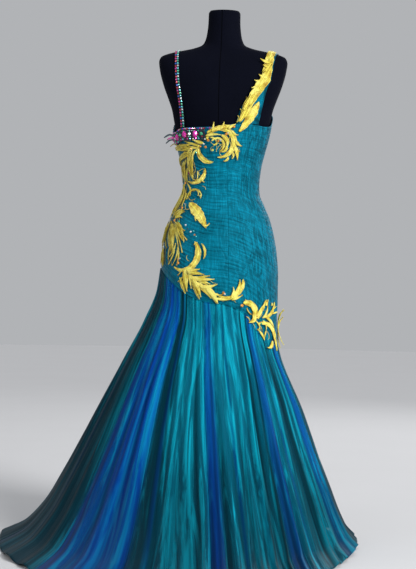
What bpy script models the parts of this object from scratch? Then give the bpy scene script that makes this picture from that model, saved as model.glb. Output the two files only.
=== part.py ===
"""Mermaid prom dress on a limbless dress form, in metres, +Z up, floor at z = 0.

The wearer's back faces -Y, the wearer's right is +X and the wearer's front faces +Y.
A place on the garment is given as a turn and a height. The turn is in degrees round the
body: 0 at the centre back, 90 at the wearer's right side, 180 at the centre front and
-90 (or 270) at the wearer's left side.
"""

import math
from collections import namedtuple
from functools import lru_cache

import bmesh
import bpy
from mathutils import Vector
from mathutils.bvhtree import BVHTree

# Walls and gaps
CLOTH = 0.0020
NET = 0.0018
LINING = 0.0016
SEAM_GAP = 0.0004
TUCK_GAP = 0.0012
LAY_GAP = 0.0005
FORM_CLEARANCE = 0.0056

# Ruched bodice
RUCHE_FOLDS = 15
ROWS_PER_FOLD = 3
RUCHE_HEIGHT = 0.0026
RUCHE_FADE = 0.028
RUCHE_PROFILE = (0.0, 1.0, 0.42)

# Appliqué
MOTIF_CLOTH = 0.0014
MOTIF_CROWN = 0.0007
MOTIF_LAYER = 0.0027
MOTIF_ROWS_PER_LOBE = 2
SETTLE_SAMPLES = 4

# Stones on the left strap and the neckline band
STONE_PITCH = 0.0092
STONE_HEIGHT = 0.0032
BAND_HEIGHT = 0.036
BAND_FROM, BAND_TO = -104.0, -17.0
BAND_TURNS_PER_STONE = 4.0

# Dress form and stand
FORM_COLUMNS = 26
SHOULDER_CORE_UP = 1.300
STRAP_REST = 0.0012
POLE_RADIUS = 0.0150
BASE_RADIUS = 0.165
BASE_THICKNESS = 0.010
ROUND_STEPS = 24

COLOURS = {
    "bodice_teal": ((0.004, 0.150, 0.215), 0.55, 0.0),
    "tulle_teal": ((0.004, 0.125, 0.180), 0.60, 0.0),
    "tulle_blue": ((0.003, 0.045, 0.260), 0.60, 0.0),
    "lining_teal": ((0.004, 0.165, 0.225), 0.45, 0.0),
    "gold_applique": ((0.620, 0.430, 0.120), 0.45, 0.3),
    "jewel_band": ((0.030, 0.090, 0.110), 0.25, 0.0),
    "form_cloth": ((0.012, 0.014, 0.026), 0.85, 0.0),
    "stand_metal": ((0.020, 0.020, 0.022), 0.35, 1.0),
}

# The smooth outer face of the dress from the top edge to the skirt seam.
Section = namedtuple("Section", "up side back front")
SHEATH = (
    Section(1.262, 0.1560, 0.1070, 0.1080),
    Section(1.222, 0.1480, 0.1050, 0.1190),
    Section(1.180, 0.1405, 0.0985, 0.1270),
    Section(1.122, 0.1262, 0.0890, 0.1180),
    Section(1.073, 0.1145, 0.0800, 0.1040),
    Section(1.022, 0.1095, 0.0760, 0.0940),
    Section(1.000, 0.1110, 0.0775, 0.0930),
    Section(0.970, 0.1235, 0.0850, 0.0950),
    Section(0.930, 0.1415, 0.0990, 0.1010),
    Section(0.880, 0.1555, 0.1170, 0.1080),
    Section(0.830, 0.1645, 0.1300, 0.1120),
    Section(0.780, 0.1685, 0.1350, 0.1140),
    Section(0.710, 0.1695, 0.1340, 0.1140),
    Section(0.650, 0.1685, 0.1290, 0.1140),
    Section(0.600, 0.1700, 0.1250, 0.1150),
    Section(0.540, 0.1760, 0.1250, 0.1170),
)

# Bust fullness that the cups add to the front of the dress and the form.
BUST_TURN, BUST_UP = 36.0, 1.165
BUST_OUT, BUST_WIDE, BUST_TALL = 0.012, 20.0, 0.050

# The form above the dress. square is the exponent of its section's super-ellipse.
FormSection = namedtuple("FormSection", "up side back front square ahead")
FORM_TOP = (
    FormSection(1.205, 0.1390, 0.0965, 0.1165, 2.02, 0.000),
    FormSection(1.240, 0.1460, 0.0975, 0.1070, 2.12, 0.000),
    FormSection(1.272, 0.1570, 0.0975, 0.0930, 2.35, 0.000),
    FormSection(1.310, 0.1710, 0.0950, 0.0780, 2.60, 0.000),
    FormSection(1.350, 0.1820, 0.0860, 0.0660, 2.80, 0.000),
    FormSection(1.378, 0.1860, 0.0740, 0.0560, 2.90, 0.002),
    FormSection(1.393, 0.1810, 0.0640, 0.0500, 2.80, 0.004),
    FormSection(1.402, 0.1640, 0.0580, 0.0480, 2.60, 0.006),
    FormSection(1.411, 0.1280, 0.0540, 0.0490, 2.30, 0.008),
    FormSection(1.420, 0.0880, 0.0520, 0.0500, 2.10, 0.010),
    FormSection(1.432, 0.0610, 0.0510, 0.0510, 2.00, 0.012),
    FormSection(1.456, 0.0510, 0.0490, 0.0500, 2.00, 0.014),
    FormSection(1.495, 0.0465, 0.0465, 0.0465, 2.00, 0.016),
    FormSection(1.522, 0.0460, 0.0460, 0.0460, 2.00, 0.018),
    FormSection(1.530, 0.0420, 0.0420, 0.0420, 2.00, 0.018),
)
FORM_BASE_UP = 0.655
FORM_LOW_UPS = (0.655, 0.662, 0.690, 0.735, 0.780, 0.830, 0.880, 0.930, 0.970, 1.000, 1.022, 1.073, 1.122, 1.165)

# Top edge of the bodice: low back, armholes and a shallow sweetheart front.
EdgePoint = namedtuple("EdgePoint", "turn up")
TOP_EDGE = (
    EdgePoint(-180, 1.200),
    EdgePoint(-163, 1.222),
    EdgePoint(-143, 1.243),
    EdgePoint(-122, 1.236),
    EdgePoint(-106, 1.206),
    EdgePoint(-90, 1.178),
    EdgePoint(-70, 1.176),
    EdgePoint(-51, 1.186),
    EdgePoint(-20, 1.187),
    EdgePoint(4, 1.190),
    EdgePoint(15, 1.196),
    EdgePoint(32, 1.199),
    EdgePoint(46, 1.196),
    EdgePoint(62, 1.193),
    EdgePoint(76, 1.195),
    EdgePoint(90, 1.208),
    EdgePoint(104, 1.228),
    EdgePoint(122, 1.240),
    EdgePoint(143, 1.243),
    EdgePoint(163, 1.222),
    EdgePoint(180, 1.200),
)

# Bodice panels, seam to seam.
Panel = namedtuple("Panel", "name start end columns")
PANELS = (
    Panel("bodice_back_left", -90, 12, 8),
    Panel("bodice_back_right", 12, 90, 6),
    Panel("bodice_front_right", 90, 180, 7),
    Panel("bodice_front_left", 180, 270, 7),
)

# Skirt seam: high on the wearer's left hip, low on the right thigh.
SEAM_LEFT, SEAM_RIGHT, SEAM_BACK, SEAM_FRONT = 0.782, 0.562, 0.688, 0.664

# Lines from the skirt seam (share 0) to the hem (share 1): how far out and how high, four ways.
Flare = namedtuple(
    "Flare",
    "share left_out left_up right_out right_up back_out back_up front_out front_up",
)
FLARE = (
    Flare(0.00, 0.1685, 0.782, 0.1735, 0.562, 0.1330, 0.688, 0.1140, 0.664),
    Flare(0.08, 0.1740, 0.722, 0.1830, 0.522, 0.1410, 0.630, 0.1200, 0.606),
    Flare(0.20, 0.2080, 0.632, 0.2080, 0.458, 0.1680, 0.556, 0.1400, 0.522),
    Flare(0.33, 0.2640, 0.520, 0.2400, 0.382, 0.2140, 0.462, 0.1680, 0.424),
    Flare(0.46, 0.3200, 0.404, 0.2680, 0.302, 0.2740, 0.360, 0.1960, 0.326),
    Flare(0.58, 0.3740, 0.292, 0.2960, 0.226, 0.3440, 0.262, 0.2220, 0.236),
    Flare(0.70, 0.4320, 0.180, 0.3260, 0.150, 0.4300, 0.166, 0.2500, 0.148),
    Flare(0.80, 0.4860, 0.090, 0.3520, 0.086, 0.5260, 0.082, 0.2720, 0.080),
    Flare(0.89, 0.5440, 0.030, 0.3800, 0.032, 0.6500, 0.018, 0.2900, 0.030),
    Flare(1.00, 0.6100, 0.000, 0.4100, 0.000, 0.8400, 0.000, 0.3040, 0.000),
)
NET_SHARES = (0.0, 0.08, 0.20, 0.34, 0.49, 0.64, 0.78, 0.89, 1.0)

# How far each fold line swings round the body on its way from the seam to the hem.
Swing = namedtuple("Swing", "turn swing")
FOLD_SWING = (
    Swing(-180, 0.0),
    Swing(-120, 8.0),
    Swing(-85, 14.0),
    Swing(-50, 19.0),
    Swing(-10, 20.0),
    Swing(30, 12.0),
    Swing(80, 5.0),
    Swing(180, 0.0),
)

# Gores of net, seam to seam, with the folds that each one falls into.
Gore = namedtuple("Gore", "name start end folds colour")
GORES = (
    Gore("skirt_left_teal", -90, -61, 3, "tulle_teal"),
    Gore("skirt_left_back_blue", -61, -37, 3, "tulle_blue"),
    Gore("skirt_back_left_teal", -37, -11, 4, "tulle_teal"),
    Gore("skirt_back_blue", -11, -4, 1, "tulle_blue"),
    Gore("skirt_back_teal", -4, 29, 5, "tulle_teal"),
    Gore("skirt_right_back_blue", 29, 37, 1, "tulle_blue"),
    Gore("skirt_right_back_teal", 37, 64, 4, "tulle_teal"),
    Gore("skirt_right_blue", 64, 80, 2, "tulle_blue"),
    Gore("skirt_right_front_teal", 80, 138, 4, "tulle_teal"),
    Gore("skirt_front_blue", 138, 150, 1, "tulle_blue"),
    Gore("skirt_front_teal", 150, 230, 5, "tulle_teal"),
    Gore("skirt_front_left_blue", 230, 244, 1, "tulle_blue"),
    Gore("skirt_left_front_teal", 244, 270, 2, "tulle_teal"),
)
FOLD_WIDTHS = (1.00, 1.35, 0.80, 1.15, 0.90)
FOLD_DEPTHS = (1.00, 0.72, 1.12, 0.60, 0.88, 1.05, 0.66)
FOLD_TOP, FOLD_HEM = 0.0022, 0.0260
FOLD_LATE = 0.30
COLUMNS_PER_FOLD = 4

# Lining skirt: inside the net, with its own wider folds, ending just above the floor.
Inset = namedtuple("Inset", "share inward fold")
LINING_INSET = (
    Inset(0.00, 0.0024, 0.0000),
    Inset(0.08, 0.0070, 0.0020),
    Inset(0.20, 0.0180, 0.0080),
    Inset(0.40, 0.0330, 0.0150),
    Inset(0.65, 0.0480, 0.0200),
    Inset(1.00, 0.0620, 0.0220),
)
LINING_HEM = {"left": 0.86, "right": 0.93, "back": 0.84, "front": 0.95}
LINING_HALVES = (Panel("lining_back", -90, 90, 32), Panel("lining_front", 90, 270, 20))
LINING_ROWS = 6
LINING_FOLD_COLUMNS = 4
LINING_TUCK = 0.004

# Shoulder straps: centre and half width across, at the bodice edge, part way up and at the shoulder.
Strap = namedtuple("Strap", "name edge_across edge_half middle_across middle_half top_across top_half")
STRAPS = (
    Strap("left", -0.1080, 0.0065, -0.1240, 0.0060, -0.1335, 0.0060),
    Strap("right", 0.0775, 0.0320, 0.1280, 0.0130, 0.1480, 0.0120),
)
STRAP_TOP_TURN = 90.0
STRAP_ROWS = {"left": 22, "right": 16}
STRAP_FRONT_TURN = {"left": -143.0, "right": 143.0}

# Appliqué motifs. heading is the way that the root points (0 to the wearer's right, 90 up) and
# bend is how far the centreline turns along its length, both in degrees.
Motif = namedtuple(
    "Motif", "name turn up heading bend length width lobes layer spring", defaults=(0.0,)
)
MOTIFS = (
    Motif("neck_scroll", -15, 1.152, 78, -262, 0.186, 0.021, 8, 0),
    Motif("neck_frond", -14, 1.172, 30, -32, 0.080, 0.015, 4, 1),
    Motif("neck_inner_scroll", -9, 1.148, 56, -215, 0.072, 0.009, 4, 0),
    Motif("breast_curl", -26, 1.138, -118, 130, 0.076, 0.023, 4, 0),
    Motif("breast_leaf", -34, 1.130, 178, 8, 0.100, 0.013, 4, 0),
    Motif("breast_leaf_low", -40, 1.117, -164, 14, 0.066, 0.012, 3, 0),
    Motif("vine_leaf_upper", -38, 1.112, -116, 40, 0.070, 0.016, 4, 0),
    Motif("vine_leaf_outer", -60, 1.092, -98, 14, 0.058, 0.015, 3, 0),
    Motif("crescent_upper", -53, 1.034, -29, 125, 0.083, 0.021, 4, 0),
    Motif("vine_scroll", -50, 0.980, 112, -215, 0.082, 0.008, 4, 0),
    Motif("waist_leaf", -42, 0.970, -30, -34, 0.100, 0.035, 5, 0),
    Motif("vine_stem", -68, 1.026, -78, -46, 0.104, 0.014, 5, 0),
    Motif("fan_leaf_rising", -62, 0.932, 44, -30, 0.036, 0.013, 2, 0),
    Motif("fan_leaf_inner", -52, 0.914, -46, -18, 0.070, 0.014, 3, 0),
    Motif("fan_leaf_middle", -63, 0.910, -74, 14, 0.094, 0.020, 4, 0),
    Motif("fan_leaf_outer", -80, 0.916, -86, -12, 0.078, 0.016, 4, 0),
    Motif("hip_leaf", -72, 0.842, -80, 4, 0.056, 0.018, 3, 0),
    Motif("crescent_lower", -45, 0.788, -36, 170, 0.142, 0.027, 6, 0),
    Motif("crescent_twin", -12, 0.812, 62, 79, 0.047, 0.009, 3, 0),
    Motif("spray_leaf_first", -37, 0.758, -64, -8, 0.050, 0.028, 3, 0),
    Motif("spray_leaf_long", -30, 0.764, -8, -28, 0.074, 0.020, 4, 0),
    Motif("spray_leaf_second", -23, 0.742, -50, -26, 0.050, 0.021, 3, 0),
    Motif("spray_leaf_third", -10, 0.734, -44, -20, 0.060, 0.020, 3, 0),
    Motif("spray_leaf_right", -13, 0.736, -9, 34, 0.046, 0.012, 3, 1),
    Motif("seam_stem", 1, 0.716, -42, 142, 0.112, 0.019, 6, 0),
    Motif("side_scroll", 27, 0.689, 21, -188, 0.092, 0.022, 4, 0),
    Motif("side_leaf_slim", 44, 0.644, 61, 4, 0.062, 0.012, 3, 0),
    Motif("side_leaf_hook", 51, 0.650, -7, 98, 0.072, 0.016, 3, 0),
    Motif("side_leaf_long", 44, 0.630, 18, -140, 0.130, 0.020, 6, 0),
    Motif("side_leaf_low", 42, 0.614, -40, -40, 0.036, 0.010, 2, 0),
    Motif("side_leaf_edge", 90, 0.562, 93, -6, 0.108, 0.015, 4, 0, 0.014),
    Motif("strap_leaf", 23, 1.176, 48, 24, 0.100, 0.030, 4, 0),
)
FROND_HALF = 0.0150
FROND_OVER_LEAF = 0.0030
STRAP_LAY_GAP = 0.0012


def smooth_value(rows, at, column):
    """The value of a column where the first column is `at`, on a smooth curve through the rows."""
    keys = [row[0] for row in rows]
    sign = 1 if keys[-1] > keys[0] else -1
    at = min(max(at, min(keys)), max(keys))
    i = 0
    while i < len(rows) - 2 and sign * (at - keys[i + 1]) > 0:
        i += 1
    values = [getattr(row, column) for row in rows]
    step = keys[i + 1] - keys[i]
    chord = (values[i + 1] - values[i]) / step
    slopes = []
    for j in (i, i + 1):
        if 0 < j < len(rows) - 1:
            before = (values[j] - values[j - 1]) / (keys[j] - keys[j - 1])
            after = (values[j + 1] - values[j]) / (keys[j + 1] - keys[j])
            slopes.append(0.0 if before * after <= 0 else 2 * before * after / (before + after))
        else:
            slopes.append(chord)
    t = (at - keys[i]) / step
    return (
        values[i] * (1 + 2 * t) * (1 - t) ** 2
        + values[i + 1] * t * t * (3 - 2 * t)
        + step * t * (1 - t) * (slopes[0] * (1 - t) - slopes[1] * t)
    )


def eased(low, high, at):
    """0 below low, 1 above high, and a smooth rise between them."""
    t = min(max((at - low) / (high - low), 0.0), 1.0)
    return t * t * (3 - 2 * t)


def mixed(a, b, share):
    return a + (b - a) * share


def wrapped(turn):
    """The same turn between -180 and 180."""
    return (turn + 180.0) % 360.0 - 180.0


def bust_fullness(turn, up):
    """How far the cups push the front out at this place."""
    off = (abs(abs(wrapped(turn)) - (180.0 - BUST_TURN))) / BUST_WIDE
    high = (up - BUST_UP) / BUST_TALL
    return BUST_OUT * math.exp(-off * off - high * high)


def body_point(turn, up, inward=0.0):
    """A point on the body's section: the dress's smooth face, or `inward` of it."""
    angle = math.radians(turn)
    side = smooth_value(SHEATH, up, "side") - inward
    depth = smooth_value(SHEATH, up, "back" if math.cos(angle) > 0 else "front") - inward
    point = Vector((side * math.sin(angle), -depth * math.cos(angle), up))
    radial = Vector((point.x, point.y, 0)).normalized()
    return point + radial * bust_fullness(turn, up)


def normal_of(surface, turn, along):
    """Outward unit normal of a surface given by a turn and a second coordinate."""
    by_turn, by_along = 0.05, 0.001
    across = surface(turn + by_turn, along) - surface(turn - by_turn, along)
    down = surface(turn, along - by_along) - surface(turn, along + by_along)
    normal = down.cross(across).normalized()
    return normal


def sheath_point(turn, up, out=0.0):
    """A point on the dress's smooth outer face, moved out along its normal."""
    return body_point(turn, up) + normal_of(body_point, turn, up) * out


def top_edge(turn):
    return smooth_value(TOP_EDGE, wrapped(turn), "up")


def seam_curve(turn):
    """Height of the skirt seam round the body."""
    angle = math.radians(turn)
    side = SEAM_RIGHT if math.sin(angle) > 0 else SEAM_LEFT
    depth = SEAM_BACK if math.cos(angle) > 0 else SEAM_FRONT
    return side * math.sin(angle) ** 2 + depth * math.cos(angle) ** 2


def seam_height(turn):
    """The seam's height as the bodice panels' straight-edged columns cut it."""
    turn = (turn + 90.0) % 360.0 - 90.0
    panel = next(p for p in PANELS if p.start <= turn <= p.end)
    place = (turn - panel.start) / (panel.end - panel.start) * panel.columns
    cell = min(int(place), panel.columns - 1)
    width = (panel.end - panel.start) / panel.columns
    left = seam_curve(panel.start + cell * width)
    right = seam_curve(panel.start + (cell + 1) * width)
    return mixed(left, right, place - cell)


def ruche_cover(turn, up):
    """Height of the ruched folds' crests above the smooth face, nothing at the two edges."""
    from_top = eased(0.0, RUCHE_FADE, top_edge(turn) - up)
    from_seam = eased(0.0, RUCHE_FADE, up - seam_curve(turn))
    return RUCHE_HEIGHT * (0.12 + 0.88 * from_top * from_seam)


def flare_point(turn, share):
    """A point on the skirt where the folds are deepest, from the seam (0) to the hem (1)."""
    angle = math.radians(turn)
    across, along = math.sin(angle), math.cos(angle)
    side = "right" if across > 0 else "left"
    depth = "back" if along > 0 else "front"
    out_side = smooth_value(FLARE, share, side + "_out")
    out_depth = smooth_value(FLARE, share, depth + "_out")
    up_side = smooth_value(FLARE, share, side + "_up")
    up_depth = smooth_value(FLARE, share, depth + "_up")
    up = up_side * across**2 + up_depth * along**2
    up += (seam_height(turn) - seam_curve(turn)) * (1 - eased(0.0, 0.08, share))
    return Vector((out_side * across, -out_depth * along, up))


def fold_swing(turn):
    return smooth_value(FOLD_SWING, wrapped(turn), "swing")


def flare_normal(turn, share):
    """Outward normal of the skirt, which points up where the train lies on the floor."""
    by_turn, by_share = 0.05, 0.002
    across = flare_point(turn + by_turn, share) - flare_point(turn - by_turn, share)
    low, high = max(share - by_share, 0.0), min(share + by_share, 1.0)
    down = flare_point(turn, high) - flare_point(turn, low)
    normal = down.cross(across).normalized()
    normal.z = max(normal.z, 0.0)
    return normal.normalized()


def fold_height(share, depth, late):
    """Height of a fold's crest along the skirt. A late fold starts part way down."""
    grown = FOLD_TOP + (FOLD_HEM - FOLD_TOP) * share**0.85
    if late:
        grown = mixed(0.4 * FOLD_TOP, grown, eased(0.04, FOLD_LATE, share))
    return depth * grown


def net_cover(turn, up):
    """A point and normal just clear of the net's folds, at a height near the seam."""
    low, high = 0.0, 0.6
    for _ in range(24):
        middle = (low + high) / 2
        if flare_point(turn, middle).z > up:
            low = middle
        else:
            high = middle
    normal = flare_normal(turn, low)
    crest = max(FOLD_DEPTHS) * fold_height(low, 1.0, False)
    return flare_point(turn, low) + normal * crest, normal


def cover_point(turn, up, out, form_tree):
    """A point `out` above whatever cloth lies at this place: bodice, skirt top or strap."""
    seam, edge = seam_curve(turn), top_edge(turn)
    if up > edge + 0.002:
        return strap_cover(body_point(turn, up).x, up, out, form_tree)
    bodice = sheath_point(turn, up, ruche_cover(turn, up) + out)
    if up > seam + 0.014:
        return bodice
    net, normal = net_cover(turn, min(up, seam))
    net.z = min(up, seam) if up < seam else up
    return bodice.lerp(net + normal * out, eased(-0.014, -0.001, seam - up))


def place_object(name, mesh_builder, finish):
    """Links a closed mesh as a named object with its finish, shaded smooth."""
    bmesh.ops.recalc_face_normals(mesh_builder, faces=mesh_builder.faces)
    mesh = bpy.data.meshes.new(name)
    mesh_builder.to_mesh(mesh)
    mesh_builder.free()
    mesh.shade_smooth()
    mesh.set_sharp_from_angle(angle=math.radians(50))
    mesh.materials.append(finish)
    obj = bpy.data.objects.new(name, mesh)
    bpy.context.scene.collection.objects.link(obj)
    return obj


def make_finish(name):
    colour, roughness, metallic = COLOURS[name]
    finish = bpy.data.materials.new(name)
    finish.use_nodes = True
    shader = finish.node_tree.nodes["Principled BSDF"]
    shader.inputs["Base Color"].default_value = (*colour, 1.0)
    shader.inputs["Roughness"].default_value = roughness
    shader.inputs["Metallic"].default_value = metallic
    finish.diffuse_color = (*colour, 1.0)
    return finish


def wall(name, outer, inner, finish, every=1):
    """A closed wall between two grids of points, rows by columns.

    The inner grid has one row for each `every` rows of the outer one, so that raised work
    shows on the outer face alone.
    """
    built = bmesh.new()
    out = [[built.verts.new(p) for p in row] for row in outer]
    ins = [[built.verts.new(p) for p in row] for row in inner]
    rows, columns = len(out) - 1, len(out[0]) - 1
    for i in range(rows):
        for j in range(columns):
            built.faces.new((out[i][j], out[i][j + 1], out[i + 1][j + 1], out[i + 1][j]))
    for i in range(rows // every):
        for j in range(columns):
            built.faces.new((ins[i][j], ins[i + 1][j], ins[i + 1][j + 1], ins[i][j + 1]))
        for j in (0, columns):
            run = [out[k][j] for k in range(i * every, (i + 1) * every + 1)]
            built.faces.new((ins[i][j], *run, ins[i + 1][j]))
    for j in range(columns):
        for outer_row, inner_row in ((out[0], ins[0]), (out[-1], ins[-1])):
            built.faces.new((outer_row[j], outer_row[j + 1], inner_row[j + 1], inner_row[j]))
    return place_object(name, built, finish)


def spread_turns(start, end, count, radius):
    """Turns from seam to seam, drawn in by half a seam gap at each end."""
    gap = math.degrees(SEAM_GAP / 2 / radius)
    return [mixed(start + gap, end - gap, i / count) for i in range(count + 1)]


def ruche_relief(turn, row, up):
    """Outward height of the ruched cloth at a row, uneven from fold to fold and along each fold."""
    fold, place = divmod(row, ROWS_PER_FOLD)
    wander = 0.72 + 0.28 * math.sin(math.radians(turn) * (2 + fold % 3) + 2.4 * fold)
    return RUCHE_PROFILE[place] * wander * ruche_cover(turn, up)


def make_bodice(finish):
    made = []
    rows = RUCHE_FOLDS * ROWS_PER_FOLD
    for panel in PANELS:
        turns = spread_turns(panel.start, panel.end, panel.columns, 0.14)
        outer, inner = [], []
        for row in range(rows + 1):
            share = row / rows
            heights = [
                mixed(top_edge(t), seam_height(t) + SEAM_GAP, share)
                for t in turns
            ]
            outer.append([sheath_point(t, up, ruche_relief(t, row, up)) for t, up in zip(turns, heights)])
            if row % ROWS_PER_FOLD == 0:
                inner.append([sheath_point(t, up, -CLOTH) for t, up in zip(turns, heights)])
        made.append(wall(panel.name, outer, inner, finish, every=ROWS_PER_FOLD))
    return made


def gore_columns(gore, first_fold):
    """For each column of a gore: its turn, its place in the fold (0 trough, 1 crest) and its fold."""
    widths = [FOLD_WIDTHS[(first_fold + k) % len(FOLD_WIDTHS)] for k in range(gore.folds)]
    gap = math.degrees(SEAM_GAP / 2 / 0.15)
    start, end = gore.start + gap, gore.end - gap
    columns, before = [], 0.0
    for k, width in enumerate(widths):
        for step in range(COLUMNS_PER_FOLD + (k == gore.folds - 1)):
            phase = step / COLUMNS_PER_FOLD
            place = (before + phase * width) / sum(widths)
            rise = 0.5 - 0.5 * math.cos(2 * math.pi * phase)
            columns.append((mixed(start, end, place), rise, first_fold + k))
        before += width
    return columns


def make_net_skirt(finishes):
    made = []
    first_fold = 0
    for gore in GORES:
        columns = gore_columns(gore, first_fold)
        outer, inner = [], []
        for share in NET_SHARES:
            outer_row, inner_row = [], []
            for turn, rise, fold in columns:
                depth = FOLD_DEPTHS[fold % len(FOLD_DEPTHS)]
                swung = turn + fold_swing(turn) * share
                base = flare_point(swung, share)
                normal = flare_normal(swung, share)
                crest = fold_height(share, depth, fold % 3 == 2)
                crest *= 1 - 0.45 * normal.z**2
                if share == 0.0:
                    base.z -= TUCK_GAP
                foot = base + normal * (rise * crest - CLOTH * (1 - eased(0.0, 0.2, share)))
                foot.z = max(foot.z, 0.0)
                inner_row.append(foot)
                outer_row.append(foot + normal * NET)
            outer.append(outer_row)
            inner.append(inner_row)
        made.append(wall(gore.name, outer, inner, finishes[gore.colour]))
        first_fold += gore.folds
    return made


def lining_point(turn, share, rise):
    """A point on the lining skirt, inside the net by the inset and with its own folds."""
    angle = math.radians(turn)
    across, along = math.sin(angle), math.cos(angle)
    hem = LINING_HEM["right" if across > 0 else "left"] * across**2
    hem += LINING_HEM["back" if along > 0 else "front"] * along**2
    reach = share * hem
    base = flare_point(turn, reach)
    level = Vector((base.x, base.y, 0)).normalized()
    inward = smooth_value(LINING_INSET, share, "inward")
    inward -= rise * smooth_value(LINING_INSET, share, "fold")
    return base - level * inward


def make_lining(finish):
    for half in LINING_HALVES:
        turns = spread_turns(half.start, half.end, half.columns, 0.15)
        outer, inner = [], []
        for row in range(LINING_ROWS + 1):
            share = row / LINING_ROWS
            outer_row, inner_row = [], []
            for j, turn in enumerate(turns):
                rise = 0.5 - 0.5 * math.cos(2 * math.pi * j / LINING_FOLD_COLUMNS)
                rise *= 0.7 + 0.3 * math.sin(1.7 * (j // LINING_FOLD_COLUMNS))
                point = lining_point(turn + fold_swing(turn) * share, share, rise)
                if row == 0:
                    point.z -= LINING_TUCK
                level = Vector((point.x, point.y, 0)).normalized()
                outer_row.append(point)
                inner_row.append(point - level * LINING)
            outer.append(outer_row)
            inner.append(inner_row)
        wall(half.name, outer, inner, finish)


def super_ellipse(section, turn):
    """A point on a form section: flatter sides and fuller corners as `square` grows past 2."""
    across, along = math.sin(math.radians(turn)), math.cos(math.radians(turn))
    power = 2.0 / section.square
    depth = section.back if along > 0 else section.front
    x = section.side * math.copysign(abs(across) ** power, across)
    y = section.ahead - depth * math.copysign(abs(along) ** power, along)
    full = bust_fullness(turn, section.up)
    return Vector((x + full * across, y - full * along, section.up))


def make_form(finish):
    """The torso as rings from its base plate to the top of its neck, closed by two plates."""
    turns = [360.0 * i / FORM_COLUMNS for i in range(FORM_COLUMNS)]
    rings = []
    for up in FORM_LOW_UPS:
        tuck = FORM_CLEARANCE + (0.006 if up == FORM_BASE_UP else 0.0)
        rings.append([body_point(t, up, tuck) for t in turns])
    for section in FORM_TOP:
        rings.append([super_ellipse(section, t) for t in turns])
    built = bmesh.new()
    loops = [[built.verts.new(p) for p in ring] for ring in rings]
    for lower, upper in zip(loops, loops[1:]):
        for i in range(FORM_COLUMNS):
            k = (i + 1) % FORM_COLUMNS
            built.faces.new((lower[i], lower[k], upper[k], upper[i]))
    for loop in (loops[0], loops[-1]):
        middle = built.verts.new(sum((v.co for v in loop), Vector()) / len(loop))
        for i in range(FORM_COLUMNS):
            built.faces.new((loop[i], loop[(i + 1) % FORM_COLUMNS], middle))
    return place_object("form_torso", built, finish)


def tree_of(*objects):
    """A search tree of every face of these objects."""
    points, faces = [], []
    for obj in objects:
        first = len(points)
        points.extend(v.co.copy() for v in obj.data.vertices)
        faces.extend([first + i for i in face.vertices] for face in obj.data.polygons)
    return BVHTree.FromPolygons(points, faces)


def make_stand(finish):
    """A round foot on the floor and a pole up to the torso's base plate."""
    parts = (
        ("stand_base", BASE_RADIUS, 0.0, BASE_THICKNESS),
        ("stand_pole", POLE_RADIUS, BASE_THICKNESS + SEAM_GAP, FORM_BASE_UP - SEAM_GAP),
    )
    for name, radius, low, high in parts:
        built = bmesh.new()
        bmesh.ops.create_cone(
            built, cap_ends=True, segments=ROUND_STEPS, radius1=radius, radius2=radius, depth=high - low
        )
        bmesh.ops.translate(built, verts=built.verts, vec=(0, 0, (low + high) / 2))
        place_object(name, built, finish)


StrapPart = namedtuple("StrapPart", "name plan way")


def edge_turn_of(across, way):
    """The turn at which the bodice's top edge is this far across, at the back (-1) or front (1)."""
    low, high = (0.0, 89.0) if way < 0 else (179.0, 91.0)
    for _ in range(20):
        middle = (low + high) / 2
        turn = math.copysign(middle, across)
        if abs(body_point(turn, top_edge(turn)).x) < abs(across):
            low = middle
        else:
            high = middle
    return math.copysign((low + high) / 2, across)


def strap_across(part, share, side):
    """How far across the body a strap's edge (side -1 or 1) or middle line (0) lies."""
    plan = part.plan
    if part.way > 0:
        turn = STRAP_FRONT_TURN[plan.name]
        foot = body_point(turn, top_edge(turn)).x
        middle = mixed(foot, plan.top_across, share)
        return middle + side * mixed(plan.middle_half, plan.top_half, share)
    if share < 0.5:
        middle = mixed(plan.edge_across, plan.middle_across, share / 0.5)
    else:
        middle = mixed(plan.middle_across, plan.top_across, share / 0.5 - 1)
    half = mixed(plan.edge_half, plan.middle_half, eased(0.0, 0.5, share))
    return middle + side * mixed(half, plan.top_half, eased(0.5, 1.0, share))


@lru_cache(maxsize=None)
def strap_foot(part, side):
    """Reach and swing, from the shoulder's core, of the place where the strap leaves the bodice."""
    turn = edge_turn_of(strap_across(part, 0.0, side), part.way)
    foot = body_point(turn, top_edge(turn) + SEAM_GAP, CLOTH)
    return math.hypot(foot.y, foot.z - SHOULDER_CORE_UP), math.atan2(foot.z - SHOULDER_CORE_UP, abs(foot.y))


def strap_ray(part, share, side):
    """The core that a strap's ray starts from, its swing above the horizontal, and the ray."""
    core = Vector((strap_across(part, share, side), 0.0, SHOULDER_CORE_UP))
    swing = mixed(strap_foot(part, side)[1], math.radians(90.0) - SEAM_GAP / 0.2, share)
    return core, swing, Vector((0.0, part.way * math.cos(swing), math.sin(swing)))


def form_reach(part, share, side, form_tree):
    core, _, ray = strap_ray(part, min(max(share, 0.0), 1.0), side)
    return form_tree.ray_cast(core, ray)[3]


def strap_landing(part, side, form_tree):
    """Share, reach and swing of the place where the taut strap first touches the form."""
    foot_reach, foot_swing = strap_foot(part, side)
    best = None
    for k in range(6, 41):
        share = k / 40
        swing = strap_ray(part, share, side)[1]
        reach = form_reach(part, share, side, form_tree) + STRAP_REST
        across = reach * math.cos(swing) - foot_reach * math.cos(foot_swing)
        rise = reach * math.sin(swing) - foot_reach * math.sin(foot_swing)
        slope = math.atan2(rise, across)
        if best is None or slope < best[0]:
            best = (slope, share, reach, swing)
    return best[1:]


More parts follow.
